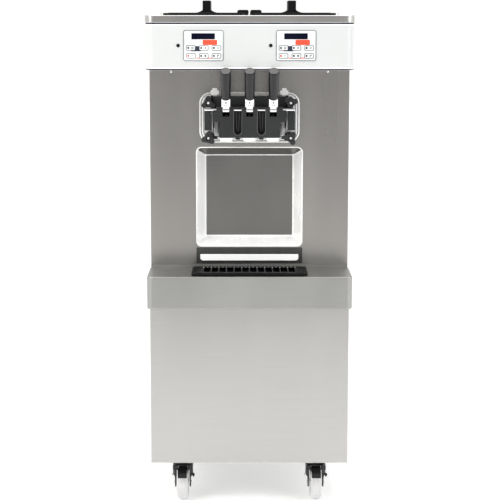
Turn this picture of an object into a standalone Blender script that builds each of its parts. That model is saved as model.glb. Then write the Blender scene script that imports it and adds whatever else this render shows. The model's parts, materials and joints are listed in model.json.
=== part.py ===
"""Floor-standing twin-flavour soft serve machine, made as separate sub-parts.

Metres, +Z up. The front faces -Y, and the origin is on the floor under the middle.
"""
import math

import bmesh
import bpy
from mathutils import Matrix, Vector

# Clearances and sheet sizes
GAP = 0.0003
SHEET = 0.002

# Cabinet: half widths, planes along Y and heights
BODY_HALF = 0.302
TRIM_HALF = 0.305
HEADER_HALF = 0.3035
SHELF_HALF = 0.306
FRONT = -0.400
UPPER = -0.230
LOWER = -0.322
REAR = 0.400
CABINET_BOTTOM = 0.131
FRONT_PANEL_BOTTOM = 0.1353
SHELF_BOTTOM = 0.630
SHELF_TOP = 0.7285
SPLASH_BOTTOM = 0.739
HEADER_BOTTOM = 1.340
HEADER_TOP = 1.4745
DECK_TOP = 1.4966
PANEL_FOLD = 0.012
CORNER = 0.026
BODY_INSIDE = BODY_HALF - SHEET - GAP
UPPER_BACK = UPPER + SHEET
CASTER_PLATE = 0.006
CASTER_PLATE_HALF = (0.033, 0.040)

# Cooling slots in the sides and the back, and the cable gland
SIDE_SLOT_FRONT, SIDE_SLOT_BACK, SIDE_SLOT_HEIGHT = 0.120, 0.300, 0.010
SIDE_SLOT_ROWS = [0.230 + 0.030 * i for i in range(10)]
REAR_SLOT_COLUMNS, REAR_SLOT_LENGTH, REAR_SLOT_HEIGHT = (-0.170, 0.020), 0.150, 0.012
REAR_SLOT_ROWS = [0.360 + 0.040 * i for i in range(8)]
GLAND = (0.190, 0.215)
GLAND_NUT, GLAND_NOSE, GLAND_BORE, GLAND_END = 0.016, 0.0125, 0.0045, 0.4349

# Pressed splash recess and the slot of the leak drawer
RECESS_LOW, RECESS_HIGH = 0.795, 1.100
RECESS_HALF = 0.1615
RECESS_DEPTH = 0.048
RECESS_SLOPE = 0.026
DRAWER_LOW, DRAWER_HIGH = 0.7520, 0.7705
DRAWER_HALF = 0.1505
DRAWER_LENGTH = 0.300

# Controls on the header
KEYPAD_X, KEYPAD_Z = 0.1345, 1.4098
KEYPAD_WIDTH, KEYPAD_HEIGHT = 0.1160, 0.0885
LAMPS = {"left": -0.2080, "right": 0.0610}

# Hoppers and lids
HOPPER_X = 0.1325
HOPPER_HALF = 0.1185
HOPPER_FRONT, HOPPER_BACK = -0.200, 0.180
HOPPER_BOTTOM = 1.300
HOPPER_CORNER = 0.020
LIP = 0.0085
FEED_Y, FEED_RADIUS = -0.150, 0.012
LID_HALF, LID_THICK, LID_OVERHANG = 0.1295, 0.0068, 0.003
LID_GRIP_HALF, LID_GRIP_REACH, LID_GRIP_TOP = 0.0125, 0.065, 1.5417
LID_FOOT_HALF, LID_FOOT_REACH, LID_FOOT_HEIGHT = 0.034, 0.078, 0.008
TAB_WIDTH, TAB_DEPTH, TAB_INSET, TAB_TOP = 0.032, 0.020, 0.030, 1.5130

# Freezing cylinders
CYLINDER_X, CYLINDER_Z = 0.068, 1.190
CYLINDER_OUTER, CYLINDER_INNER = 0.058, 0.050
CYLINDER_BACK = 0.120
MOUTHS_HALF, MOUTHS_HEIGHT = 0.132, 0.064
BEATER_END, BEATER_SHAFT = 0.1495, 0.009

# Dispensing door: the plate behind it, the block, and what is cut into the block
PLATE_HALF, PLATE_LOW, PLATE_HIGH = 0.1515, 1.1145, 1.2670
PLATE_THICK, PLATE_CORNER = 0.008, 0.034
DOOR_BACK = UPPER - PLATE_THICK - 3 * GAP
DOOR_FRONT, DOOR_STEP_FRONT, DOOR_WAIST_FRONT = -0.346, -0.318, -0.262
DOOR_HALF, DOOR_WAIST_HALF = 0.108, 0.090
DOOR_LOW, DOOR_WAIST, DOOR_STEP, DOOR_HIGH = 1.137, 1.185, 1.230, 1.2575
PILLAR_INNER, PILLAR_OUTER, PILLAR_FRONT, PILLAR_LOW = 0.1125, 0.134, -0.334, 1.1585
BRIDGE_INNER, BRIDGE_LOW, BRIDGE_HIGH = 0.080, 1.160, 1.200
GROOVE_HALF, GROOVE_BACK, GROOVE_LOW = 0.011, -0.324, 1.1575
SLOT_HALF, SLOT_LOW, SLOT_HIGH = 0.01025, 1.2000, 1.2450
PORT_Z, PORT_RADIUS = 1.155, 0.008
LUG_RADIUS, LUG_BAR_HALF = 0.0135, 0.008
BOSS_INNER, BOSS_OUTER, BOSS_LOW = 0.094, 0.116, 1.218

# Draw handles: the pivot's (y, z), and distances along the leaning lever
PIVOT = (-0.338, 1.2200)
PIN_RADIUS, PIN_HALF = 0.004, 0.134
SPACING = 0.070
LEVER_LEAN = math.radians(36)
LEVER_WIDTH, ARM_HALF, HUB_RADIUS = 0.018, 0.0055, 0.010
NOSE_REACH, NOSE_RADIUS = 0.030, 0.003
NOSE_ANGLE = math.radians(27.5)
COLLAR_START, COLLAR_HALF, COLLAR_DEPTH = 0.0145, 0.0135, 0.006
GRIP_START, GRIP_END = 0.045, 0.1455
GRIP_BORE, GRIP_BORE_DEPTH = 0.0043, 0.0185
VALVE_Y, VALVE_RADIUS, VALVE_NECK = -0.300, 0.012, 0.004
VALVE_LOW, VALVE_HIGH, VALVE_NOTCH = 1.1425, 1.2225, 0.007

# Knobs and plugs on the door
KNOB_X, KNOB_HEIGHTS = 0.1225, {"upper": 1.2394, "lower": 1.1350}
KNOB_THICK, KNOB_BACK, KNOB_HUB = 0.018, -0.3195, 0.0120
LOBE_REACH, LOBE_RADIUS, LOBE_SETBACK = 0.0140, 0.0078, 0.004
KNOB_RECESS_RADIUS, KNOB_RECESS_DEPTH = 0.0085, 0.006
PLUG_X, PLUG_Y, PLUG_HALF, PLUG_TOP = 0.1047, -0.2503, 0.007, 1.2797
PLUG_ARM_HALF, PLUG_ARM_LOW, PLUG_ARM_HIGH = 0.0122, 1.2610, 1.2730
PLUG_STEM, PLUG_STEM_LOW = 0.004, 1.2340

# Drip tray
TRAY_HALF, TRAY_FRONT, TRAY_BACK = 0.1735, -0.391, -0.245
TRAY_DEPTH, TRAY_RIM, TRAY_INSET = 0.030, 0.0065, 0.011
GRID_SEAT = 0.0025
GRID_HOLES, GRID_PITCH, GRID_HOLE_WIDTH = 12, 0.0232, 0.0190
GRID_FRONT_BAR, GRID_BACK_BAR = 0.040, 0.022

# Casters
CASTER_X = 0.207
CASTER_Y = {"front": -0.215, "rear": 0.325}
CASTER_TRAIL = 0.036
WHEEL_RADIUS, WHEEL_WIDTH = 0.050, 0.036
LEG_INNER, LEG_OUTER = 0.0205, 0.0250
CROWN_LOW, CROWN_HALF = 0.1085, 0.031
CHEEK_LOW = 0.0960
SHOULDER_Z, SHOULDER_RADIUS, SHOULDER_END = 0.088, 0.024, 0.010
BRAKE_PIVOT = (-0.014, 0.1045)
BRAKE_PEDAL_WIDTH, BRAKE_BORE = 0.028, 0.0030
BRAKE_LIP = 0.020
SIDES = {"left": -1, "right": 1}
LEVERS = {"left": -SPACING, "centre": 0.0, "right": SPACING}

parts = bpy.data.collections.new("soft_serve_machine")
tools = bpy.data.collections.new("cutters")


def clear_scene():
    for thing in list(bpy.data.objects):
        bpy.data.objects.remove(thing, do_unlink=True)
    bpy.context.scene.collection.children.link(parts)
    bpy.context.scene.collection.children.link(tools)


def paint(name, colour, roughness, metallic=0.0):
    """One Principled BSDF material."""
    made = bpy.data.materials.new(name)
    made.use_nodes = True
    shader = made.node_tree.nodes["Principled BSDF"]
    shader.inputs["Base Color"].default_value = (*colour, 1)
    shader.inputs["Roughness"].default_value = roughness
    shader.inputs["Metallic"].default_value = metallic
    return made


PAINTS = {
    "steel": ((0.60, 0.60, 0.59), 0.35, 1.0),
    "polished": ((0.80, 0.80, 0.80), 0.12, 1.0),
    "zinc": ((0.55, 0.56, 0.58), 0.45, 1.0),
    "white": ((0.88, 0.88, 0.88), 0.30, 0.0),
    "black": ((0.02, 0.02, 0.02), 0.40, 0.0),
    "charcoal": ((0.05, 0.05, 0.055), 0.35, 0.0),
    "grey": ((0.72, 0.73, 0.74), 0.45, 0.0),
}


def coat(thing, finish):
    """Give a sub-part its own material, named after it."""
    thing.data.materials.append(paint(thing.name + "_" + finish, *PAINTS[finish]))


def settle(name, bm, origin, finish):
    """Make an object about its origin; without a finish it is a cutter or an added shape."""
    bmesh.ops.translate(bm, verts=bm.verts, vec=-Vector(origin))
    mesh = bpy.data.meshes.new(name)
    bm.to_mesh(mesh)
    bm.free()
    thing = bpy.data.objects.new(name, mesh)
    thing.location = origin
    if finish:
        coat(thing, finish)
        parts.objects.link(thing)
    else:
        tools.objects.link(thing)
        thing.hide_render = True
        thing.display_type = "WIRE"
    return thing


def middle(low, high):
    return (Vector(low) + Vector(high)) / 2


def add_box(bm, low, high):
    made = bmesh.ops.create_cube(bm, size=1)
    for vert in made["verts"]:
        vert.co = [low[i] if vert.co[i] < 0 else high[i] for i in range(3)]
    return made["verts"]


def along(axis, keep=None):
    """A test for straight edges along one axis, with an optional test of the edge's middle."""
    def test(edge):
        step = (edge.verts[0].co - edge.verts[1].co).normalized()
        centre = (edge.verts[0].co + edge.verts[1].co) / 2
        return abs(step[axis]) > 0.999 and (keep is None or keep(centre))
    return test


def block(name, low, high, finish=None, test=None, radius=0.0, segments=3, origin=None):
    """A box between two corners, with the edges that pass the test rounded."""
    bm = bmesh.new()
    add_box(bm, low, high)
    if test:
        edges = [edge for edge in bm.edges if test(edge)]
        bmesh.ops.bevel(bm, geom=edges, offset=radius, segments=segments, profile=0.5, affect="EDGES")
    return settle(name, bm, origin or middle(low, high), finish)


def boxes(name, corners, finish=None):
    """Several boxes that don't touch, in one mesh."""
    bm = bmesh.new()
    for low, high in corners:
        add_box(bm, low, high)
    return settle(name, bm, middle(*corners[0]), finish)


def tapered(name, low, high, axis, inset, finish=None):
    """A box whose face at the high end of the axis is drawn in by the inset on every side."""
    bm = bmesh.new()
    centre = middle(low, high)
    for vert in add_box(bm, low, high):
        if vert.co[axis] > centre[axis]:
            for i in {0, 1, 2} - {axis}:
                vert.co[i] += math.copysign(inset[i], centre[i] - vert.co[i])
    return settle(name, bm, centre, finish)


def rod(name, radius, start, end, finish=None, sides=20, end_radius=None):
    """A round bar or a cone between two points."""
    start, end = Vector(start), Vector(end)
    bm = bmesh.new()
    bmesh.ops.create_cone(
        bm, cap_ends=True, segments=sides, radius1=radius,
        radius2=radius if end_radius is None else end_radius, depth=(end - start).length)
    turn = (end - start).to_track_quat("Z", "Y").to_matrix()
    bmesh.ops.rotate(bm, verts=bm.verts, cent=(0, 0, 0), matrix=turn)
    bmesh.ops.translate(bm, verts=bm.verts, vec=(start + end) / 2)
    return settle(name, bm, (start + end) / 2, finish)


def turned(name, profile, base, direction, finish=None, steps=24, ring=False):
    """Spin an outline of (radius, height), listed top to bottom, about a direction from base."""
    bm = bmesh.new()
    line = [bm.verts.new((radius, 0, height)) for radius, height in profile]
    for first, second in zip(line, line[1:]):
        bm.edges.new((first, second))
    if ring:
        bm.edges.new((line[-1], line[0]))
    thing = settle(name, bm, (0, 0, 0), finish)
    thing.location = base
    thing.rotation_euler = Vector(direction).to_track_quat("Z", "Y").to_euler()
    screw = thing.modifiers.new("Turn", "SCREW")
    screw.steps = steps
    screw.render_steps = steps
    screw.use_merge_vertices = True
    screw.merge_threshold = 0.00001
    screw.use_smooth_shade = False
    return thing


def flat_shape(name, outline, thickness, centre, finish=None):
    """Extrude an outline of (y, z) points along X, to both sides of the centre."""
    curve = bpy.data.curves.new(name + "_outline", "CURVE")
    curve.dimensions = "2D"
    curve.fill_mode = "BOTH"
    curve.extrude = thickness / 2
    spline = curve.splines.new("POLY")
    spline.points.add(len(outline) - 1)
    for point, (across, up) in zip(spline.points, outline):
        point.co = (across - centre[1], up - centre[2], 0, 1)
    spline.use_cyclic_u = True
    guide = bpy.data.objects.new(name + "_guide", curve)
    bpy.context.scene.collection.objects.link(guide)
    evaluated = guide.evaluated_get(bpy.context.evaluated_depsgraph_get())
    solid = bpy.data.meshes.new_from_object(evaluated)
    bpy.data.objects.remove(guide, do_unlink=True)
    bm = bmesh.new()
    bm.from_mesh(solid)
    bmesh.ops.remove_doubles(bm, verts=bm.verts, dist=0.00001)
    bmesh.ops.recalc_face_normals(bm, faces=bm.faces)
    thing = settle(name, bm, (0, 0, 0), finish)
    thing.location = centre
    thing.rotation_euler = (math.pi / 2, 0, math.pi / 2)
    return thing


def arc(centre, radius, start, end, steps):
    """Points on a circle from one angle to another, in radians."""
    angles = [start + (end - start) * i / steps for i in range(steps + 1)]
    return [(centre[0] + radius * math.cos(a), centre[1] + radius * math.sin(a)) for a in angles]


def combine(target, tool, operation):
    change = target.modifiers.new(tool.name, "BOOLEAN")
    change.operation = operation
    change.object = tool
    change.solver = "EXACT"


def cut(target, *cutters):
    for tool in cutters:
        combine(target, tool, "DIFFERENCE")


def join(target, *shapes):
    for tool in shapes:
        combine(target, tool, "UNION")


# ---------------------------------------------------------------- cabinet


def base_pan():
    low = (-BODY_INSIDE, LOWER + PANEL_FOLD + GAP, CABINET_BOTTOM)
    high = (BODY_INSIDE, REAR - SHEET - 0.0015, CABINET_BOTTOM + 0.025)
    pan = block("base_pan", low, high, "steel")
    wall = 0.003
    cut(pan, block("pan_hollow", (low[0] + wall, low[1] + wall, low[2] + wall),
                   (high[0] - wall, high[1] - wall, high[2] + wall)))
    for y in CASTER_Y.values():
        for side in SIDES.values():
            x = side * CASTER_X
            half_x, half_y = CASTER_PLATE_HALF
            join(pan, block("caster_plate", (x - half_x, y - half_y, CABINET_BOTTOM - CASTER_PLATE),
                            (x + half_x, y + half_y, CABINET_BOTTOM + 0.001)))


def chassis_frame():
    """Welded square tube: four posts with rings of rails at the base, middle and top."""
    tube, rail = 0.012, 0.008
    foot = CABINET_BOTTOM + 0.0033
    post_x, post_front, post_back = 0.280, UPPER + 0.0155, REAR - 0.022
    posts = [((x - tube, y - tube, foot), (x + tube, y + tube, HEADER_TOP - 0.030))
             for x in (-post_x, post_x) for y in (post_front, post_back)]
    frame = boxes("chassis_frame", posts, "zinc")
    reach = tube - 0.003
    rails = []
    for z in (foot + 0.060, 0.650, 1.1165, HEADER_TOP - 0.060):
        for y in (post_front, post_back):
            rails.append(((-post_x + reach, y - rail, z - rail), (post_x - reach, y + rail, z + rail)))
        for x in (-post_x, post_x):
            rails.append(((x - rail, post_front + reach, z - rail), (x + rail, post_back - reach, z + rail)))
    join(frame, boxes("chassis_rails", rails))


def lower_front_panel():
    low = (-BODY_HALF, LOWER, FRONT_PANEL_BOTTOM)
    high = (BODY_HALF, LOWER + PANEL_FOLD, SHELF_BOTTOM - GAP)
    panel = block("lower_front_panel", low, high, "steel", along(2, lambda c: c.y < LOWER + 0.001), 0.004)
    cut(panel, block("panel_hollow", (low[0] + SHEET, low[1] + SHEET, low[2] + SHEET),
                     (high[0] - SHEET, high[1] + SHEET, high[2] - SHEET)))


def side_panels():
    """Flat sheets with the L outline of the cabinet, and cooling slots low at the back."""
    edge_low, edge_high = LOWER + PANEL_FOLD + GAP, UPPER_BACK + GAP
    step = SHELF_BOTTOM - GAP
    outline = [(edge_low, CABINET_BOTTOM), (REAR, CABINET_BOTTOM), (REAR, HEADER_TOP),
               (edge_high, HEADER_TOP), (edge_high, step), (edge_low, step)]
    for name, side in SIDES.items():
        centre = (side * (BODY_HALF - SHEET / 2), 0.0, 0.8)
        panel = flat_shape(name + "_side_panel", outline, SHEET, centre, "steel")
        slots = [((centre[0] - 0.01, SIDE_SLOT_FRONT, z),
                  (centre[0] + 0.01, SIDE_SLOT_BACK, z + SIDE_SLOT_HEIGHT)) for z in SIDE_SLOT_ROWS]
        cut(panel, boxes(name + "_side_slots", slots))


def rear_panel():
    back = REAR - 0.001
    panel = block("rear_panel", (-BODY_INSIDE, back - SHEET, CABINET_BOTTOM + GAP),
                  (BODY_INSIDE, back, HEADER_TOP), "steel")
    slots = [((x, back - 0.01, z), (x + REAR_SLOT_LENGTH, back + 0.01, z + REAR_SLOT_HEIGHT))
             for x in REAR_SLOT_COLUMNS for z in REAR_SLOT_ROWS]
    cut(panel, boxes("rear_slots", slots))
    x, z = GLAND
    join(panel, rod("gland_nut", GLAND_NUT, (x, back - 0.001, z), (x, back + 0.010, z), sides=6),
         rod("gland_nose", GLAND_NOSE, (x, back + 0.009, z), (x, GLAND_END, z), end_radius=0.0085))
    cut(panel, rod("gland_bore", GLAND_BORE, (x, back - 0.010, z), (x, GLAND_END + 0.010, z), sides=16))


def splash_panel():
    """Upper front sheet with the pressed recess, the cylinder mouths and the drawer's channel."""
    panel = block("splash_panel", (-BODY_HALF, UPPER, SPLASH_BOTTOM + GAP),
                  (BODY_HALF, UPPER_BACK, HEADER_BOTTOM - GAP), "steel")
    low = (-RECESS_HALF, UPPER + SHEET / 2, RECESS_LOW)
    high = (RECESS_HALF, UPPER + RECESS_DEPTH + SHEET, RECESS_HIGH)
    slope = (RECESS_SLOPE, 0, RECESS_SLOPE)
    outer = tapered("recess_outer", (low[0] - SHEET, low[1], low[2] - SHEET),
                    (high[0] + SHEET, high[1], high[2] + SHEET), 1, slope)
    inner = tapered("recess_inner", (low[0], UPPER - SHEET, low[2]),
                    (high[0], high[1] - SHEET, high[2]), 1, slope)
    channel = block("drawer_channel", (-DRAWER_HALF, UPPER + SHEET / 2, DRAWER_LOW - 0.0020),
                    (DRAWER_HALF, UPPER + DRAWER_LENGTH, DRAWER_HIGH + 0.0020))
    join(panel, outer, channel)
    mouths = block("mouths", (-MOUTHS_HALF, UPPER - 0.01, CYLINDER_Z - MOUTHS_HEIGHT),
                   (MOUTHS_HALF, UPPER + 0.01, CYLINDER_Z + MOUTHS_HEIGHT))
    slot = block("drawer_slot", (-DRAWER_HALF + SHEET, UPPER - 0.01, DRAWER_LOW),
                 (DRAWER_HALF - SHEET, UPPER + DRAWER_LENGTH + 0.01, DRAWER_HIGH))
    cut(panel, inner, mouths, slot)


def drip_shelf():
    """Ledge with a rounded front, a well for the tray and an upstand under the splash panel."""
    shelf = block("drip_shelf", (-SHELF_HALF, FRONT, SHELF_BOTTOM), (SHELF_HALF, UPPER_BACK, SHELF_TOP),
                  "steel", along(2, lambda c: c.y < FRONT + 0.001), 0.018, 4)
    cut(shelf, block("shelf_hollow", (-SHELF_HALF + SHEET, FRONT + SHEET, SHELF_BOTTOM + SHEET),
                     (SHELF_HALF - SHEET, UPPER_BACK + SHEET, SHELF_TOP - SHEET),
                     None, along(2, lambda c: c.y < FRONT + 0.01), 0.016, 4))
    cut(shelf, block("tray_well", (-TRAY_HALF + 0.010, TRAY_FRONT + 0.008, SHELF_TOP - 0.02),
                     (TRAY_HALF - 0.010, TRAY_BACK - 0.008, SHELF_TOP + 0.02)))
    join(shelf, block("upstand", (-BODY_HALF, UPPER_BACK - 0.006, SHELF_TOP - 0.001),
                      (BODY_HALF, UPPER_BACK, SPLASH_BOTTOM)))


def header_fascia():
    wall = 0.003
    front_corner = along(2, lambda c: c.y < FRONT + 0.01)
    header = block("header_fascia", (-HEADER_HALF, FRONT, HEADER_BOTTOM),
                   (HEADER_HALF, UPPER_BACK, HEADER_TOP), "white", front_corner, CORNER, 5)
    cut(header, block("header_hollow", (-HEADER_HALF + wall, FRONT + wall, HEADER_BOTTOM + wall),
                      (HEADER_HALF - wall, UPPER_BACK + wall, HEADER_TOP + wall),
                      None, front_corner, CORNER - wall, 5))


def top_deck():
    front_corner = along(2, lambda c: c.y < FRONT + 0.01)
    bottom = HEADER_TOP + GAP
    deck = block("top_deck", (-TRIM_HALF, FRONT - 0.0015, bottom), (TRIM_HALF, REAR + 0.001, DECK_TOP),
                 "steel", front_corner, CORNER, 5)
    cut(deck, block("deck_hollow", (-TRIM_HALF + SHEET, FRONT + SHEET, bottom - SHEET),
                    (TRIM_HALF - SHEET, REAR - SHEET, DECK_TOP - SHEET),
                    None, front_corner, CORNER - SHEET, 5))
    for side in SIDES.values():
        x = side * HOPPER_X
        grow = HOPPER_HALF + 0.001
        cut(deck, block("hopper_opening", (x - grow, HOPPER_FRONT - 0.001, DECK_TOP - 0.02),
                        (x + grow, HOPPER_BACK + 0.001, DECK_TOP + 0.02), None, along(2), HOPPER_CORNER, 3))


# ---------------------------------------------------------------- controls


def keypads():
    back, front = FRONT - GAP, FRONT - GAP - 0.0015
    for name, side in SIDES.items():
        x = side * KEYPAD_X
        block(name + "_keypad", (x - KEYPAD_WIDTH / 2, front, KEYPAD_Z - KEYPAD_HEIGHT / 2),
              (x + KEYPAD_WIDTH / 2, back, KEYPAD_Z + KEYPAD_HEIGHT / 2), "grey", along(1), 0.006, 4)


def mix_lamps():
    for name, x in LAMPS.items():
        turned(name + "_mix_lamp", [(0, 0.0030), (0.0032, 0.0026), (0.0050, 0.0012), (0.0050, 0), (0, 0)],
               (x, FRONT - GAP, KEYPAD_Z), (0, -1, 0), "black", 20)


# ---------------------------------------------------------------- hoppers


def hoppers():
    for name, side in SIDES.items():
        x = side * HOPPER_X
        hopper = block(name + "_hopper", (x - HOPPER_HALF, HOPPER_FRONT, HOPPER_BOTTOM),
                       (x + HOPPER_HALF, HOPPER_BACK, DECK_TOP + 0.001), "steel", along(2), HOPPER_CORNER, 3)
        lip = block(name + "_hopper_lip", (x - HOPPER_HALF - LIP, HOPPER_FRONT - LIP, DECK_TOP + GAP),
                    (x + HOPPER_HALF + LIP, HOPPER_BACK + LIP, DECK_TOP + 0.0018),
                    None, along(2), HOPPER_CORNER + 0.008, 3)
        hollow = block(name + "_hopper_hollow",
                       (x - HOPPER_HALF + SHEET, HOPPER_FRONT + SHEET, HOPPER_BOTTOM + SHEET),
                       (x + HOPPER_HALF - SHEET, HOPPER_BACK - SHEET, DECK_TOP + 0.02),
                       None, along(2), HOPPER_CORNER - SHEET, 3)
        join(hopper, lip)
        cut(hopper, hollow, rod(name + "_feed_hole", FEED_RADIUS, (x, FEED_Y, HOPPER_BOTTOM - 0.01),
                                (x, FEED_Y, HOPPER_BOTTOM + 0.01)))


def hopper_lids():
    """Lids with a turned-down rim, a tall grip on a flared foot, and a finger tab."""
    top = DECK_TOP + LID_THICK
    y = (HOPPER_FRONT + HOPPER_BACK) / 2
    front, back = HOPPER_FRONT - LIP - LID_OVERHANG, HOPPER_BACK + LIP + LID_OVERHANG
    for name, side in SIDES.items():
        x = side * HOPPER_X
        lid = block(name + "_hopper_lid", (x - LID_HALF, front, DECK_TOP + GAP), (x + LID_HALF, back, top),
                    "black", along(2), 0.026, 3, origin=(x, y, DECK_TOP))
        foot = tapered(name + "_grip_foot", (x - LID_FOOT_HALF, y - LID_FOOT_REACH, top - 0.001),
                       (x + LID_FOOT_HALF, y + LID_FOOT_REACH, top + LID_FOOT_HEIGHT), 2, (0.020, 0.008, 0))
        bar = block(name + "_grip_bar", (x - LID_GRIP_HALF, y - LID_GRIP_REACH, top),
                    (x + LID_GRIP_HALF, y + LID_GRIP_REACH, LID_GRIP_TOP),
                    None, along(1, lambda c: c.z > LID_GRIP_TOP - 0.01), 0.008, 3)
        inner = x - side * (LID_HALF - 0.001)
        tab_low, tab_high = sorted((inner, inner + side * TAB_WIDTH))
        tab = block(name + "_finger_tab", (tab_low, front + TAB_INSET, top - 0.001),
                    (tab_high, front + TAB_INSET + TAB_DEPTH, TAB_TOP))
        join(lid, foot, bar, tab)
        play = 0.0008
        reach = HOPPER_HALF + LIP + play
        cut(lid, block(name + "_lid_hollow", (x - reach, HOPPER_FRONT - LIP - play, DECK_TOP - 0.01),
                       (x + reach, HOPPER_BACK + LIP + play, DECK_TOP + 0.0025), None, along(2), 0.024, 3))


# ---------------------------------------------------------------- freezing


def freezing_cylinders():
    length = CYLINDER_BACK - (UPPER - GAP)
    wall = CYLINDER_OUTER - CYLINDER_INNER
    profile = [(CYLINDER_OUTER, length), (CYLINDER_OUTER, 0), (CYLINDER_INNER, 0),
               (CYLINDER_INNER, length - wall), (0.011, length - wall), (0.011, length)]
    for name, side in SIDES.items():
        turned(name + "_freezing_cylinder", profile, (side * CYLINDER_X, UPPER - GAP + 0.0005, CYLINDER_Z),
               (0, 1, 0), "steel", 24, ring=True)


def helix(name, centre, radius, length, turns, start, thick):
    """A round bar that winds about Y, made a mesh with its caps closed."""
    curve = bpy.data.curves.new(name + "_line", "CURVE")
    curve.dimensions = "3D"
    curve.bevel_depth = thick
    curve.bevel_resolution = 1
    curve.use_fill_caps = True
    spline = curve.splines.new("POLY")
    count = 13
    spline.points.add(count - 1)
    for i, point in enumerate(spline.points):
        angle = start + 2 * math.pi * turns * i / (count - 1)
        point.co = (radius * math.cos(angle), length * (i / (count - 1) - 0.5), radius * math.sin(angle), 1)
    guide = bpy.data.objects.new(name + "_guide", curve)
    bpy.context.scene.collection.objects.link(guide)
    evaluated = guide.evaluated_get(bpy.context.evaluated_depsgraph_get())
    bm = bmesh.new()
    bm.from_mesh(bpy.data.meshes.new_from_object(evaluated))
    bpy.data.objects.remove(guide, do_unlink=True)
    bmesh.ops.remove_doubles(bm, verts=bm.verts, dist=0.00001)
    bmesh.ops.recalc_face_normals(bm, faces=bm.faces)
    thing = settle(name, bm, (0, 0, 0), None)
    thing.location = centre
    return thing


def beaters():
    """Two helical scraper bars on end arms, about a shaft that leaves the cylinder at the back."""
    front, back = UPPER + 0.008, CYLINDER_BACK - 0.020
    reach, thick, turns = CYLINDER_INNER - 0.008, 0.005, 0.75
    for name, side in SIDES.items():
        centre = Vector((side * CYLINDER_X, (front + back) / 2, CYLINDER_Z))
        beater = rod(name + "_beater", BEATER_SHAFT, (centre.x, front - 0.005, CYLINDER_Z),
                     (centre.x, BEATER_END, CYLINDER_Z), "polished", sides=12)
        inset, lead = 0.0031, 0.05
        for y, angle in ((front + inset, side * lead), (back - inset, side * (2 * math.pi * turns - lead))):
            arm = (reach - 0.0007) * Vector((math.cos(angle), 0, math.sin(angle)))
            hub = Vector((centre.x, y, CYLINDER_Z))
            join(beater, rod(name + "_arm", 0.0045, hub - arm, hub + arm, sides=8))
        for start in (0.0, math.pi):
            join(beater, helix(name + "_bar", centre, reach, back - front, side * turns, start, thick))


def beater_drive():
    """Gearbox with two output bosses, and its motor."""
    drive = block("beater_drive", (-0.120, 0.155, CYLINDER_Z - 0.065), (0.120, 0.215, CYLINDER_Z + 0.045),
                  "zinc", along(1), 0.015, 2)
    for side in SIDES.values():
        x = side * CYLINDER_X
        join(drive, rod("output_boss", 0.020, (x, 0.150, CYLINDER_Z), (x, 0.160, CYLINDER_Z)))
    motor_z = CYLINDER_Z - 0.005
    join(drive, rod("motor_can", 0.062, (0, 0.205, motor_z), (0, 0.345, motor_z), sides=20))


# ---------------------------------------------------------------- refrigeration


def compressor():
    base = CABINET_BOTTOM + 0.0033
    can = turned("compressor", [(0, 0.230), (0.045, 0.222), (0.075, 0.200), (0.085, 0.170), (0.085, 0.060),
                                (0.078, 0.030), (0.060, 0.015), (0, 0.015)],
                 (-0.130, -0.020, base), (0, 0, 1), "black", 20)
    join(can, block("compressor_feet", (-0.210, -0.070, base), (-0.050, 0.030, base + 0.018)))


def condenser():
    low, high = (-0.170, 0.318, 0.215), (0.170, 0.358, 0.560)
    core = block("condenser", low, high, "zinc")
    pitch = 0.018
    count = int((high[0] - low[0]) / pitch)
    grooves = [((low[0] + pitch * (i + 0.6), low[1] - 0.01, low[2] + 0.012),
                (low[0] + pitch * (i + 0.6) + 0.009, low[1] + 0.030, high[2] - 0.012)) for i in range(count)]
    cut(core, boxes("condenser_grooves", grooves))


def condenser_fan():
    """A hub with five pitched blades that turns about Y."""
    y, z = 0.270, 0.390
    fan = rod("condenser_fan", 0.028, (0, y - 0.016, z), (0, y + 0.016, z), "black")
    for i in range(5):
        blade = block("fan_blade", (-0.034, -0.002, 0.020), (0.034, 0.002, 0.120), None, along(1), 0.014, 2,
                      origin=(0, 0, 0))
        blade.location = (0, y, z)
        blade.rotation_euler = (0, 2 * math.pi * i / 5, 0)
        blade.rotation_mode = "XYZ"
        blade.data.transform(Matrix.Rotation(math.radians(28), 4, "Z"))
        join(fan, blade)


# ---------------------------------------------------------------- dispensing door


def lean_point(distance, side_step=0.0):
    """A (y, z) point along the leaning lever, stepped sideways from its middle line."""
    return (PIVOT[0] - distance * math.sin(LEVER_LEAN) + side_step * math.cos(LEVER_LEAN),
            PIVOT[1] + distance * math.cos(LEVER_LEAN) + side_step * math.sin(LEVER_LEAN))


def knob_places():
    for height, z in KNOB_HEIGHTS.items():
        for name, side in SIDES.items():
            yield height + "_" + name, side * KNOB_X, z


def door_plate():
    """Polished flange of the cylinders, with the four studs that the door hangs on."""
    back = UPPER - GAP
    front = back - PLATE_THICK
    plate = block("door_plate", (-PLATE_HALF, front, PLATE_LOW), (PLATE_HALF, back, PLATE_HIGH), "polished",
                  along(1), PLATE_CORNER, 6)
    for side in SIDES.values():
        x = side * CYLINDER_X
        cut(plate, rod("mouth", CYLINDER_INNER, (x, front - 0.01, CYLINDER_Z), (x, back + 0.01, CYLINDER_Z),
                       sides=24))
    tip = KNOB_BACK - KNOB_THICK + 0.004
    for name, x, z in knob_places():
        join(plate, rod(name + "_stud", PIN_RADIUS, (x, tip, z), (x, back - 0.004, z), sides=12))


def door_body():
    """Moulded block with pillars and lugs beside it, and the ways for levers, valves and product."""
    body = block("door_body", (-DOOR_HALF, DOOR_FRONT, DOOR_LOW), (DOOR_HALF, DOOR_BACK, DOOR_STEP), "black",
                 along(0, lambda c: c.y < DOOR_FRONT + 0.001), 0.004, 2)
    join(body, block("door_top", (-DOOR_HALF, DOOR_STEP_FRONT, DOOR_STEP - 0.001),
                     (DOOR_HALF, DOOR_BACK, DOOR_HIGH)))
    door_corners(body)
    door_brackets(body)
    door_ways(body)


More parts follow.
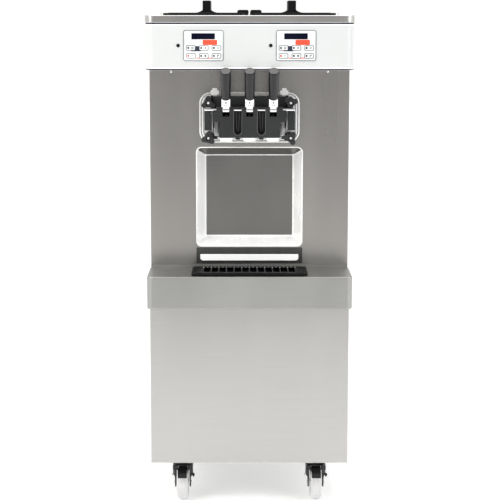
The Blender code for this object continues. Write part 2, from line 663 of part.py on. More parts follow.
def door_corners(body):
    """Cuts the block in below its waist, and makes room for the upper knobs to turn."""
    outside = DOOR_HALF + 0.01
    for side in SIDES.values():
        waist_low, waist_high = sorted((side * DOOR_WAIST_HALF, side * outside))
        cut(body, block("waist", (waist_low, DOOR_FRONT - 0.01, DOOR_LOW - 0.01),
                        (waist_high, DOOR_WAIST_FRONT, DOOR_WAIST)))
        notch_low, notch_high = sorted((side * (DOOR_HALF - 0.0095), side * outside))
        cut(body, block("knob_notch", (notch_low, DOOR_FRONT - 0.01, 1.2160),
                        (notch_high, DOOR_STEP_FRONT - 0.0005, 1.24)))


def door_brackets(body):
    """Joins a pillar, a bridge, a plug boss and two lugs to each side of the block."""
    pillar_top = PIVOT[1] - PIN_RADIUS - GAP
    for side in SIDES.values():
        low, high = sorted((side * BRIDGE_INNER, side * (PILLAR_OUTER - 0.001)))
        bridge = block("bridge", (low, DOOR_WAIST_FRONT, BRIDGE_LOW), (high, DOOR_BACK, BRIDGE_HIGH))
        low, high = sorted((side * PILLAR_INNER, side * PILLAR_OUTER))
        pillar = block("pillar", (low, PILLAR_FRONT, PILLAR_LOW), (high, DOOR_BACK, pillar_top))
        low, high = sorted((side * BOSS_INNER, side * BOSS_OUTER))
        boss = block("plug_boss", (low, DOOR_WAIST_FRONT + 0.0002, BOSS_LOW), (high, DOOR_BACK, DOOR_HIGH))
        join(body, bridge, pillar, boss)
    for name, x, z in knob_places():
        low, high = sorted((x, math.copysign(BRIDGE_INNER, x)))
        join(body, rod(name + "_lug", LUG_RADIUS, (x, KNOB_BACK + GAP, z), (x, DOOR_BACK, z), sides=12),
             block(name + "_lug_bar", (low, DOOR_WAIST_FRONT + 0.0006, z - LUG_BAR_HALF),
                   (high, DOOR_BACK, z + LUG_BAR_HALF)))
        cut(body, rod(name + "_stud_hole", PIN_RADIUS + 0.0005, (x, KNOB_BACK - 0.01, z), (x, UPPER, z),
                      sides=10))


def door_ways(body):
    """Cuts the pin's bore, the grooves, the lever slots, the valve bores and the product's ways."""
    pivot_y, pivot_z = PIVOT
    cut(body, rod("pin_bore", PIN_RADIUS + 0.0004, (-0.120, pivot_y, pivot_z), (0.120, pivot_y, pivot_z),
                  sides=12))
    for side in SIDES.values():
        x = side * SPACING / 2
        cut(body, block("groove", (x - GROOVE_HALF, DOOR_FRONT - 0.01, GROOVE_LOW),
                        (x + GROOVE_HALF, GROOVE_BACK, pivot_z + 0.005)),
            rod("groove_end", GROOVE_HALF - 0.0001, (x, DOOR_FRONT - 0.01, GROOVE_LOW),
                (x, GROOVE_BACK, GROOVE_LOW), sides=12))
    for name, x in LEVERS.items():
        slot = block(name + "_slot", (x - SLOT_HALF, DOOR_FRONT - 0.01, SLOT_LOW),
                     (x + SLOT_HALF, VALVE_Y, SLOT_HIGH))
        bore = rod(name + "_bore", VALVE_RADIUS + 0.0003, (x, VALVE_Y, DOOR_LOW - 0.01),
                   (x, VALVE_Y, DOOR_HIGH + 0.01), sides=18)
        port = rod(name + "_port", PORT_RADIUS, (x, VALVE_Y, PORT_Z), (x, UPPER, PORT_Z), sides=10)
        cut(body, slot, bore, port)
    cut(body, block("mixing_channel", (-0.045, DOOR_BACK - 0.006, PORT_Z - 0.006),
                    (0.045, UPPER, PORT_Z + 0.006)))
    for side in SIDES.values():
        x = side * PLUG_X
        cut(body, rod("plug_bore", 0.0045, (x, PLUG_Y, 1.232), (x, PLUG_Y, DOOR_HIGH + 0.01), sides=10))


def door_pivot_pin():
    rod("door_pivot_pin", PIN_RADIUS, (-PIN_HALF, *PIVOT), (PIN_HALF, *PIVOT), "polished", 16)


def levers():
    """Each lever is a hub with a nose for the valve, an arm, a collar and a stud for the grip."""
    nose_tip = (PIVOT[0] + NOSE_REACH * math.cos(NOSE_ANGLE), PIVOT[1] - NOSE_REACH * math.sin(NOSE_ANGLE))
    arm_end, shoulder = 0.030, 0.58
    outline = [lean_point(arm_end, ARM_HALF), lean_point(arm_end, -ARM_HALF)]
    outline += arc(PIVOT, HUB_RADIUS, math.pi / 2 + LEVER_LEAN + shoulder, 1.5 * math.pi, 6)
    outline += arc(nose_tip, NOSE_RADIUS, -math.pi / 2 - NOSE_ANGLE, math.pi / 2 - NOSE_ANGLE, 6)
    outline += arc(PIVOT, HUB_RADIUS, 0.0, math.pi / 2 + LEVER_LEAN - shoulder, 5)
    for name, x in LEVERS.items():
        centre = (x, *PIVOT)
        lever = flat_shape(name + "_lever", outline, LEVER_WIDTH, centre, "polished")
        cut(lever, rod(name + "_lever_bore", PIN_RADIUS + 0.0003, (x - 0.02, *PIVOT), (x + 0.02, *PIVOT),
                       sides=16))
        collar = block(name + "_collar", (x - COLLAR_HALF, -COLLAR_DEPTH, COLLAR_START),
                       (x + COLLAR_HALF, COLLAR_DEPTH, GRIP_START - GAP),
                       None, along(2), 0.003, 2, origin=(x, 0, 0))
        collar.location = centre
        collar.rotation_euler = (LEVER_LEAN, 0, 0)
        stud_end = GRIP_START + GRIP_BORE_DEPTH - 0.0015
        join(lever, collar, rod(name + "_stud", PIN_RADIUS, (x, *lean_point(GRIP_START - 0.005)),
                                (x, *lean_point(stud_end)), sides=12))


def grips():
    """Turned handles that swell towards the tip, with a bore for the lever's stud."""
    length = GRIP_END - GRIP_START
    profile = [(0, length), (0.0130, length), (0.0156, length - 0.0022), (0.0162, length - 0.006),
               (0.0160, length * 0.7), (0.0150, 0.020), (0.0144, 0.004), (0.0130, 0), (GRIP_BORE, 0),
               (GRIP_BORE, GRIP_BORE_DEPTH), (0, GRIP_BORE_DEPTH)]
    for name, x in LEVERS.items():
        turned(name + "_grip", profile, (x, *lean_point(GRIP_START)),
               (0, -math.sin(LEVER_LEAN), math.cos(LEVER_LEAN)), "charcoal", 16)


def draw_valves():
    """Spools whose neck takes the lever's nose."""
    nose_z = PIVOT[1] - NOSE_REACH * math.sin(NOSE_ANGLE)
    notch_low, notch_high = nose_z - VALVE_NOTCH, nose_z + VALVE_NOTCH
    profile = [(0, VALVE_HIGH), (VALVE_RADIUS, VALVE_HIGH), (VALVE_RADIUS, notch_high),
               (VALVE_NECK, notch_high), (VALVE_NECK, notch_low), (VALVE_RADIUS, notch_low),
               (VALVE_RADIUS, VALVE_LOW), (0, VALVE_LOW)]
    local = [(radius, height - VALVE_LOW) for radius, height in profile]
    for name, x in LEVERS.items():
        turned(name + "_draw_valve", local, (x, VALVE_Y, VALVE_LOW), (0, 0, 1), "white", 18)


def nozzle_caps():
    top = DOOR_LOW - GAP
    profile = [(0.0125, 0), (0.0275, 0), (0.0275, -0.0030), (0.0195, -0.0042), (0.0185, -0.0125),
               (0.0070, -0.0125), (0.0070, -0.0060), (0.0125, -0.0040)]
    for name, x in LEVERS.items():
        turned(name + "_nozzle_cap", profile, (x, VALVE_Y, top), (0, 0, 1), "white", 16, ring=True)


def door_knobs():
    """Three-lobed hand nuts on the studs, each lobe an arm from the hub."""
    front, back = KNOB_BACK - KNOB_THICK, KNOB_BACK
    for name, x, z in knob_places():
        knob = rod(name + "_knob", KNOB_HUB, (x, back, z), (x, front, z), "charcoal", 12)
        for i in range(3):
            angle = math.radians(90 + 120 * i)
            lobe_x, lobe_z = x + LOBE_REACH * math.cos(angle), z + LOBE_REACH * math.sin(angle)
            join(knob, rod(name + "_lobe", LOBE_RADIUS, (lobe_x, back - 0.001, lobe_z),
                           (lobe_x, front + LOBE_SETBACK, lobe_z), sides=10))
        bore = rod(name + "_knob_bore", PIN_RADIUS + 0.0003, (x, back + 0.01, z), (x, front - 0.01, z),
                   sides=12)
        recess = rod(name + "_knob_recess", KNOB_RECESS_RADIUS, (x, front - 0.01, z),
                     (x, front + KNOB_RECESS_DEPTH, z), sides=12)
        cut(knob, bore, recess)


def prime_plugs():
    """Cross-shaped plugs that stand in the door's top on round stems."""
    base = DOOR_HIGH + GAP
    for name, side in SIDES.items():
        x = side * PLUG_X
        plug = block(name + "_prime_plug", (x - PLUG_HALF, PLUG_Y - PLUG_HALF, base),
                     (x + PLUG_HALF, PLUG_Y + PLUG_HALF, PLUG_TOP),
                     "white", along(2), 0.002, 2, origin=(x, PLUG_Y, base))
        join(plug, block(name + "_plug_arms", (x - PLUG_ARM_HALF, PLUG_Y - 0.005, PLUG_ARM_LOW),
                         (x + PLUG_ARM_HALF, PLUG_Y + 0.005, PLUG_ARM_HIGH)),
             rod(name + "_plug_stem", PLUG_STEM, (x, PLUG_Y, PLUG_STEM_LOW), (x, PLUG_Y, base + 0.002),
                 sides=12))


# ---------------------------------------------------------------- drip parts


def drip_tray():
    """A deep tray that hangs in the shelf's well by its rim."""
    rim_low, rim_high = SHELF_TOP + GAP, SHELF_TOP + TRAY_RIM
    tray = block("drip_tray", (-TRAY_HALF, TRAY_FRONT, rim_low), (TRAY_HALF, TRAY_BACK, rim_high), "black",
                 along(2), 0.014, 2)
    floor = SHELF_TOP - TRAY_DEPTH
    pan = TRAY_INSET - 0.002
    join(tray, block("tray_pan", (-TRAY_HALF + TRAY_INSET, TRAY_FRONT + pan, floor),
                     (TRAY_HALF - TRAY_INSET, TRAY_BACK - pan, rim_low + 0.001)))
    wall = TRAY_INSET + SHEET
    cut(tray, block("tray_hollow", (-TRAY_HALF + wall, TRAY_FRONT + wall, floor + SHEET),
                    (TRAY_HALF - wall, TRAY_BACK - wall, rim_low + 0.02)),
        block("grid_seat", (-TRAY_HALF + 0.009, TRAY_FRONT + 0.008, rim_high - GRID_SEAT),
              (TRAY_HALF - 0.009, TRAY_BACK - 0.008, rim_high + 0.02)))


def drip_grid():
    """The tray's cover, with a row of drain openings."""
    low = SHELF_TOP + TRAY_RIM - GRID_SEAT + GAP
    grid = block("drip_grid", (-TRAY_HALF + 0.0095, TRAY_FRONT + 0.0085, low),
                 (TRAY_HALF - 0.0095, TRAY_BACK - 0.0085, low + 0.0030), "black")
    half = GRID_HOLE_WIDTH / 2
    middles = [GRID_PITCH * (i - (GRID_HOLES - 1) / 2) for i in range(GRID_HOLES)]
    holes = [((x - half, TRAY_FRONT + GRID_FRONT_BAR, low - 0.01),
              (x + half, TRAY_BACK - GRID_BACK_BAR, low + 0.01)) for x in middles]
    cut(grid, boxes("grid_holes", holes))


def leak_drawer():
    """Shallow drawer that slides in the channel behind the splash panel."""
    front, back = UPPER - GAP - 0.005, UPPER - GAP
    low, high = DRAWER_LOW + 0.0005, DRAWER_HIGH - 0.0005
    half = DRAWER_HALF - SHEET - 0.0005
    drawer = block("leak_drawer", (-half, back - 0.001, low), (half, UPPER + DRAWER_LENGTH - 0.020, high),
                   "white")
    join(drawer, block("drawer_front", (-DRAWER_HALF, front, DRAWER_LOW - 0.0005),
                       (DRAWER_HALF, back, DRAWER_HIGH + 0.0005)))
    cut(drawer, block("drawer_hollow", (-half + SHEET, back + 0.002, low + SHEET),
                      (half - SHEET, UPPER + DRAWER_LENGTH - 0.022, high + 0.01)))


# ---------------------------------------------------------------- casters


def casters():
    """Swivelling forks with their axles, wheels that turn in them, and brakes at the front."""
    for row, swivel_y in CASTER_Y.items():
        for name, side in SIDES.items():
            x = side * CASTER_X
            axle = (swivel_y - CASTER_TRAIL, WHEEL_RADIUS)
            caster_fork(row + "_" + name + "_caster_fork", x, swivel_y, axle)
            caster_wheel(row + "_" + name + "_caster_wheel", x, axle)
            if row == "front":
                brake_pedal(name + "_brake_pedal", x, axle)


def caster_fork(name, x, swivel_y, axle):
    """A swivel race under a crown, with cheeks, shoulders and two legs that carry the wheel's axle."""
    plate_bottom = CABINET_BOTTOM - CASTER_PLATE - GAP
    axle_y, axle_z = axle
    fork = block(name, (x - CROWN_HALF, axle_y + 0.004, CROWN_LOW),
                 (x + CROWN_HALF, swivel_y + CROWN_HALF, plate_bottom - 0.003),
                 "black", along(2), 0.012, 2, origin=(x, swivel_y, plate_bottom))
    join(fork, rod(name + "_race", 0.027, (x, swivel_y, CROWN_LOW + 0.002), (x, swivel_y, plate_bottom),
                   sides=12))
    leg_top = CROWN_LOW + 0.004
    leg = [(axle_y - 0.013, axle_z + 0.004)] + arc(axle, 0.0125, math.pi + 0.3, 2 * math.pi - 0.3, 3)
    leg += [(axle_y + 0.016, axle_z + 0.008), (swivel_y + 0.018, leg_top), (axle_y - 0.022, leg_top),
            (axle_y - 0.026, 0.084)]
    thick = LEG_OUTER - LEG_INNER
    for side in SIDES.values():
        centre = (x + side * (LEG_INNER + thick / 2), axle_y, axle_z)
        join(fork, flat_shape(name + "_leg", leg, thick, centre))
        inner, outer = x + side * LEG_INNER, x + side * CROWN_HALF
        join(fork, block(name + "_cheek", (min(inner, outer), axle_y - 0.022, CHEEK_LOW),
                         (max(inner, outer), swivel_y + 0.016, leg_top)))
        join(fork, rod(name + "_shoulder", SHOULDER_RADIUS, (inner, axle_y + 0.004, SHOULDER_Z),
                       (outer, axle_y + 0.004, SHOULDER_Z), sides=12, end_radius=SHOULDER_END))
    join(fork, rod(name + "_axle", 0.005, (x - CROWN_HALF, *axle), (x + CROWN_HALF, *axle), sides=10))
    cross = (axle_y + BRAKE_PIVOT[0], BRAKE_PIVOT[1])
    join(fork, rod(name + "_cross_bolt", 0.0025, (x - 0.0245, *cross), (x + 0.0245, *cross), sides=8))


def caster_wheel(name, x, axle):
    half = WHEEL_WIDTH / 2
    radius = WHEEL_RADIUS
    face = [(0.0053, half), (0.0150, half), (0.0170, half - 0.005), (radius - 0.013, half - 0.005),
            (radius - 0.010, half - 0.001), (radius, half - 0.008)]
    profile = face + [(across, -height) for across, height in reversed(face)]
    turned(name, profile, (x, *axle), (1, 0, 0), "grey", 20, ring=True)


def brake_pedal(name, x, axle):
    """A foot pedal that hangs on the fork's cross bolt, over the wheel."""
    y, z = axle[0] + BRAKE_PIVOT[0], BRAKE_PIVOT[1]
    outline = arc((y, z), 0.0048, -0.9, math.pi / 2, 5)
    outline += [(y - 0.020, z + 0.0040), (y - 0.050, z - 0.006), (y - 0.0525, z - 0.0085),
                (y - 0.0525, z - BRAKE_LIP), (y - 0.0485, z - BRAKE_LIP), (y - 0.0485, z - 0.0098),
                (y - 0.020, z - 0.0015)]
    pedal = flat_shape(name, outline, BRAKE_PEDAL_WIDTH, (x, y, z), "black")
    cut(pedal, rod(name + "_bore", BRAKE_BORE, (x - 0.03, y, z), (x + 0.03, y, z), sides=12))


def build():
    clear_scene()
    for make in (base_pan, chassis_frame, lower_front_panel, side_panels, rear_panel, splash_panel,
                 drip_shelf, header_fascia, top_deck, keypads, mix_lamps, hoppers, hopper_lids,
                 freezing_cylinders, beaters, beater_drive, compressor, condenser, condenser_fan,
                 door_plate, door_body, door_pivot_pin, levers, grips, draw_valves, nozzle_caps,
                 door_knobs, prime_plugs, drip_tray, drip_grid, leak_drawer, casters):
        make()


build()
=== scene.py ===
"""Looks of a floor-standing twin-flavour soft serve machine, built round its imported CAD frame.

Metres, +Z up, front faces -Y. Each piece rides on a CAD body, and takes its place from a node's box
or a joint's axis.
"""
import json
import math

import bmesh
import bpy
from mathutils import Matrix, Vector

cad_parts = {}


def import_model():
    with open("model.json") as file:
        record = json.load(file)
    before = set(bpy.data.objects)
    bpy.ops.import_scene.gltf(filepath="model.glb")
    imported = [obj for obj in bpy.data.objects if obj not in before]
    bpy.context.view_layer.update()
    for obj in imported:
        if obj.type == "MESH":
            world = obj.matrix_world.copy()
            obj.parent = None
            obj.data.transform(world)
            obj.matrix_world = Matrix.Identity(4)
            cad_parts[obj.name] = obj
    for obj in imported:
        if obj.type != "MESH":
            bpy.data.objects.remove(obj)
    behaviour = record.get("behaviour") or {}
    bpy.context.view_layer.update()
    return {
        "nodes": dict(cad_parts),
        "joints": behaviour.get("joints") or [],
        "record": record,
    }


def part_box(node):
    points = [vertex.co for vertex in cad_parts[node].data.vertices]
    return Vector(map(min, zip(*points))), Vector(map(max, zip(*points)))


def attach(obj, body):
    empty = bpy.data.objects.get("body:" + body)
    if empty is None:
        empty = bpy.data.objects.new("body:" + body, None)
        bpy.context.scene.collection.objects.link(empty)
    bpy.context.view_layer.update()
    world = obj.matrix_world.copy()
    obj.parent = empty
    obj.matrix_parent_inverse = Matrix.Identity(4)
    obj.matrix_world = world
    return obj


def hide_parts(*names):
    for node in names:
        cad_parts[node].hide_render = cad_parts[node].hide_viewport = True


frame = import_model()

# ---------------------------------------------------------------- dimensions that no node box gives

UPPER = -0.23                 # front face of the splash panel
SHEET = 0.002
CORNER = 0.026                 # plan radius of the header and the deck's front corners
SHELF_CORNER = 0.018
SHELF_TOP = 0.7285
RECESS_HALF, RECESS_LOW, RECESS_HIGH = 0.1615, 0.795, 1.1
RECESS_DEPTH, RECESS_SLOPE, RECESS_CORNER = 0.048, 0.026, 0.016
SLOT_HALF, SLOT_LOW, SLOT_HIGH = 0.1485, 0.752, 0.7705
MOUTH_HALF, MOUTH_LOW, MOUTH_HIGH = 0.13, 1.128, 1.252
PLATE_CORNER, PLATE_THICK = 0.034, 0.008
LEVER_LEAN = math.radians(36)
GRIP_START, GRIP_END = 0.045, 0.1455   # up the lever from its pivot, like the next
SCREW_UP = 0.033
GROOVE_X, GROOVE_FOOT = 0.035, 1.1575  # the door's grooves, half way between two levers
HOPPER_CORNER, FEED_Y = 0.02, -0.15
TAB_TOP = 1.5128
REAR = 0.399                   # rear face of the cabinet
RECESS_BOX = ((-RECESS_HALF, UPPER, RECESS_LOW), (RECESS_HALF, UPPER, RECESS_HIGH))
SLOT_BOX = ((-SLOT_HALF, UPPER, SLOT_LOW), (SLOT_HALF, UPPER, SLOT_HIGH))
SIDES = {"left": -1, "right": 1}
LEVERS = ("left", "centre", "right")
# How far each hand nut is turned, in degrees
KNOB_TURNS = {"upper_left": 90, "upper_right": 20, "lower_left": 78, "lower_right": 56}
JOINTS = {joint["name"]: joint for joint in frame["joints"]}


def pivot(joint):
    """A point on the joint's axis, in the frame."""
    return Vector(JOINTS[joint]["pos_m"])


# ---------------------------------------------------------------- materials

FINISHES = {}                  # every material made here, by name


def add_node(tree, kind, values, sources, **settings):
    """A new shader node with those settings and input values, and with sources linked into its inputs."""
    made = tree.nodes.new("ShaderNode" + kind)
    for key, value in settings.items():
        setattr(made, key, value)
    for socket, value in values.items():
        made.inputs[socket].default_value = value
    for socket, source in sources.items():
        tree.links.new(source, made.inputs[socket])
    return made


class Paint:
    """One node material: a Principled BSDF, object coordinates and helpers that add to them."""

    def __init__(self, name, colour, roughness, metallic=0.0):
        self.material = bpy.data.materials.new(name)
        self.material.use_nodes = True
        self.tree = self.material.node_tree
        self.shader = self.tree.nodes["Principled BSDF"]
        self.colour = colour
        self.roughness = roughness
        self.set("Base Color", (*colour, 1))
        self.set("Roughness", roughness)
        self.set("Metallic", metallic)
        self.place = self.add("TexCoord", {}, {}).outputs["Object"]
        FINISHES[name] = self.material

    def set(self, socket, value):
        self.shader.inputs[socket].default_value = value

    def drive(self, socket, source):
        self.tree.links.new(source, self.shader.inputs[socket])

    def add(self, kind, values, sources, **settings):
        return add_node(self.tree, kind, values, sources, **settings)

    def noise(self, scale, detail=3.0):
        mapping = self.add("Mapping", {"Scale": scale}, {"Vector": self.place})
        values = {"Scale": 1.0, "Detail": detail}
        return self.add("TexNoise", values, {"Vector": mapping.outputs["Vector"]}).outputs["Fac"]

    def cells(self, scale):
        return self.add("TexVoronoi", {"Scale": scale}, {"Vector": self.place}).outputs["Color"]

    def remap(self, value, low, high, start=0.3, end=0.7):
        values = {"From Min": start, "From Max": end, "To Min": low, "To Max": high}
        return self.add("MapRange", values, {"Value": value}).outputs["Result"]

    def average(self, one, two):
        half = self.add("Math", {1: 0.5}, {0: two}, operation="MULTIPLY").outputs[0]
        return self.add("Math", {1: 0.5}, {0: one, 2: half}, operation="MULTIPLY_ADD").outputs[0]

    def blend(self, share, one, two):
        """The base colour goes from one to two as share goes from 0 to 1."""
        mix = self.add("Mix", {6: (*one, 1), 7: (*two, 1)}, {0: share}, data_type="RGBA")
        self.drive("Base Color", mix.outputs[2])

    def tint(self, value, share):
        """The colour goes from darker to lighter by that share as value goes from 0.3 to 0.7."""
        dark = [c * (1 - share) for c in self.colour]
        light = [min(1.0, c * (1 + share)) for c in self.colour]
        self.blend(self.remap(value, 0.0, 1.0), dark, light)

    def polish(self, value, spread):
        """The roughness varies with value, by that spread either way."""
        self.drive("Roughness", self.remap(value, self.roughness - spread, self.roughness + spread))

    def bump(self, value, strength, distance=0.0002):
        made = self.add("Bump", {"Strength": strength, "Distance": distance}, {"Height": value})
        self.drive("Normal", made.outputs["Normal"])


def brushed(name, colour, roughness, lines, bands, share=0.07):
    """Stainless sheet: fine lines one way, and faint wide bands across them that stand partly for rolling and
    wiping and partly for painted reflection streaks.
    """
    paint = Paint(name, colour, roughness, 1.0)
    fine = paint.noise(lines, 2.0)
    wide = paint.noise(bands)
    paint.tint(paint.average(fine, wide), share)
    paint.polish(wide, 0.05)
    paint.bump(fine, 0.02, 0.0001)


def polished(name, colour, roughness, metallic=1.0):
    """Bright metal with soft smears of wiping."""
    paint = Paint(name, colour, roughness, metallic)
    smears = paint.noise((30, 30, 12), 4.0)
    paint.polish(smears, roughness * 0.45)
    paint.tint(smears, 0.03)
    paint.bump(paint.noise((500, 500, 500), 2.0), 0.03, 0.0001)


def zinc(name, colour, roughness):
    """Galvanised sheet with its spangle."""
    paint = Paint(name, colour, roughness, 1.0)
    spangle = paint.cells(90)
    paint.tint(spangle, 0.16)
    paint.polish(spangle, 0.1)
    paint.bump(paint.noise((220, 220, 220)), 0.08, 0.0001)


def moulded(name, colour, roughness, grain=900, strength=0.22, coat=0.0, shine=0.5):
    """Moulded or powder-coated surface: fine grain, with soft patches of handling."""
    paint = Paint(name, colour, roughness)
    patches = paint.noise((14, 14, 14), 4.0)
    paint.tint(patches, 0.12)
    paint.polish(patches, 0.06)
    paint.bump(paint.noise((grain, grain, grain), 2.0), strength)
    paint.set("Specular IOR Level", shine)
    if coat:
        paint.set("Coat Weight", coat)
        paint.set("Coat Roughness", 0.06)


def enamelled(name, colour, roughness):
    """Sprayed paint on sheet steel, with its slight orange peel."""
    paint = Paint(name, colour, roughness)
    paint.tint(paint.noise((5, 5, 5)), 0.012)
    paint.polish(paint.noise((40, 40, 40), 4.0), 0.03)
    paint.bump(paint.noise((420, 420, 420), 1.0), 0.05, 0.0001)
    paint.set("Coat Weight", 0.2)
    paint.set("Coat Roughness", 0.18)


def glowing(name, colour, strength):
    """Lit lenses, and milky plastic that gives off a little of its own colour as painted light."""
    paint = Paint(name, colour, 0.34)
    paint.tint(paint.noise((14, 14, 14)), 0.02)
    paint.set("Emission Color", (*colour, 1))
    paint.set("Emission Strength", strength)


# Noise scales that draw brush lines along x, y or z
ACROSS, DEEP, DOWN = (5, 1100, 1100), (1100, 5, 1100), (1100, 1100, 5)
brushed("brushed_steel", (0.45, 0.445, 0.435), 0.36, ACROSS, (7, 2, 0.7))
brushed("shelf_steel", (0.36, 0.36, 0.35), 0.44, ACROSS, (6, 3, 3))
brushed("shadow_steel", (0.12, 0.12, 0.117), 0.34, DOWN, (60, 9, 3), 0.16)
brushed("side_steel", (0.37, 0.367, 0.36), 0.38, DEEP, (2, 7, 0.7))
brushed("rear_steel", (0.37, 0.367, 0.36), 0.38, ACROSS, (7, 2, 0.7))
brushed("splash_steel", (0.445, 0.431, 0.413), 0.29, ACROSS, (5, 2, 0.8), 0.04)
# Darker copy of the steel as painted shade: the recess's top slope and back, and the valleys of the door
# flange's rim.
brushed("painted_shade_steel", (0.24, 0.235, 0.227), 0.36, ACROSS, (9, 9, 3))
# Near-white steel as a painted highlight: the bright room mirrored in the recess walls, the door flange, its
# strips and barrels.
polished("painted_highlight_steel", (0.97, 0.97, 0.97), 0.22, 0.1)
brushed("trim_steel", (0.55, 0.545, 0.53), 0.3, ACROSS, (6, 3, 3))
brushed("pan_steel", (0.62, 0.62, 0.61), 0.26, DOWN, (8, 8, 1))
zinc("zinc_steel", (0.5, 0.51, 0.53), 0.42)
polished("polished_steel", (0.86, 0.86, 0.86), 0.12)
enamelled("header_white", (0.6, 0.62, 0.615), 0.36)
moulded("membrane_grey", (0.74, 0.76, 0.76), 0.42, 1600, 0.1)
moulded("indicator_black", (0.003, 0.003, 0.003), 0.34, 600, 0.05, shine=0.12)
moulded("lid_black", (0.007, 0.007, 0.008), 0.46, shine=0.12)
moulded("door_black", (0.026, 0.027, 0.028), 0.42, 800, 0.16, shine=0.25)
moulded("grip_charcoal", (0.007, 0.007, 0.008), 0.34, 500, 0.03, 0.55, 0.12)
moulded("grip_tip_highlight", (0.115, 0.115, 0.115), 0.5, 700, 0.1, shine=0.3)
moulded("knob_charcoal", (0.034, 0.035, 0.037), 0.4, shine=0.3)
# White plastic that glows a little: painted light on the plugs, nozzle rings, drawer and header edge bands.
glowing("food_white", (0.9, 0.9, 0.89), 0.19)
moulded("shaded_valve_white", (0.5, 0.5, 0.49), 0.4, 700, 0.08, shine=0.2)
moulded("tray_black", (0.005, 0.005, 0.006), 0.46, shine=0.08)
moulded("black_enamel", (0.015, 0.015, 0.016), 0.28, 300, 0.08, 0.4)
brushed("finned_aluminium", (0.74, 0.75, 0.76), 0.38, DOWN, (9, 9, 9))
moulded("caster_black", (0.01, 0.01, 0.011), 0.3, 500, 0.16, shine=0.4)
moulded("pedal_black", (0.008, 0.008, 0.009), 0.46, shine=0.25)
moulded("wheel_grey", (0.6, 0.6, 0.6), 0.46, 420, 0.14)
moulded("trim_navy", (0.012, 0.018, 0.042), 0.4, 900, 0.1, shine=0.15)
moulded("highlight_rim_grey", (0.085, 0.087, 0.09), 0.34, 800, 0.08)
moulded("display_navy", (0.002, 0.003, 0.014), 0.3, 900, 0.02, shine=0.12)
moulded("print_coral", (0.8, 0.085, 0.045), 0.42, 1600, 0.06, shine=0.2)
moulded("print_slate", (0.03, 0.038, 0.06), 0.42, 1600, 0.06, shine=0.2)
moulded("print_grey", (0.085, 0.095, 0.115), 0.42, 1600, 0.06, shine=0.2)
moulded("highlight_rib_grey", (0.42, 0.42, 0.42), 0.42, 900, 0.1)
glowing("lamp_red", (0.6, 0.01, 0.01), 0.25)


# ---------------------------------------------------------------- shapes

# How an outline's two directions and its thickness lie in the frame
FACINGS = {
    "front": Matrix(((1, 0, 0, 0), (0, 0, -1, 0), (0, 1, 0, 0), (0, 0, 0, 1))),
    "top": Matrix.Identity(4),
    "side": Matrix(((0, 0, 1, 0), (1, 0, 0, 0), (0, 1, 0, 0), (0, 0, 0, 1))),
}
NORMALS = {"front": Vector((0, 1, 0)), "top": Vector((0, 0, 1)), "side": Vector((1, 0, 0))}
AXES = {"front": (0, 2), "top": (0, 1), "side": (1, 2)}


def arc(centre, radius, start, end, steps):
    """Points on an arc, angles in degrees."""
    angles = [math.radians(start + (end - start) * i / steps) for i in range(steps + 1)]
    return [(centre[0] + radius * math.cos(a), centre[1] + radius * math.sin(a)) for a in angles]


def rounded(low, high, radii, steps=8):
    """A rectangle with rounded corners, from low left round to high left. One radius, or four."""
    if not hasattr(radii, "__len__"):
        radii = (radii,) * 4
    corners = ((low[0], low[1]), (high[0], low[1]), (high[0], high[1]), (low[0], high[1]))
    signs = ((1, 1), (-1, 1), (-1, -1), (1, -1))
    points = []
    for i, (corner, sign, radius) in enumerate(zip(corners, signs, radii)):
        if radius < 1e-5:
            points.append(corner)
            continue
        centre = (corner[0] + sign[0] * radius, corner[1] + sign[1] * radius)
        points += arc(centre, radius, 180 + 90 * i, 270 + 90 * i, steps)
    return points


def inside(box, facing, inset, radii=0.0, steps=8):
    """A box's outline seen that way, with its edges moved in. One inset, or one for each direction."""
    low, high = box
    u, v = AXES[facing]
    du, dv = inset if isinstance(inset, tuple) else (inset, inset)
    return rounded((low[u] + du, low[v] + dv), (high[u] - du, high[v] - dv), radii, steps)


def about(x, y, half_wide, half_high, radii, steps=8):
    """A rounded rectangle about its centre."""
    return rounded((x - half_wide, y - half_high), (x + half_wide, y + half_high), radii, steps)


def mirrored(x, half):
    """A whole outline from its right half, whose points give the distance from x and the height."""
    return [(x + u, v) for u, v in half] + [(x - u, v) for u, v in reversed(half)]


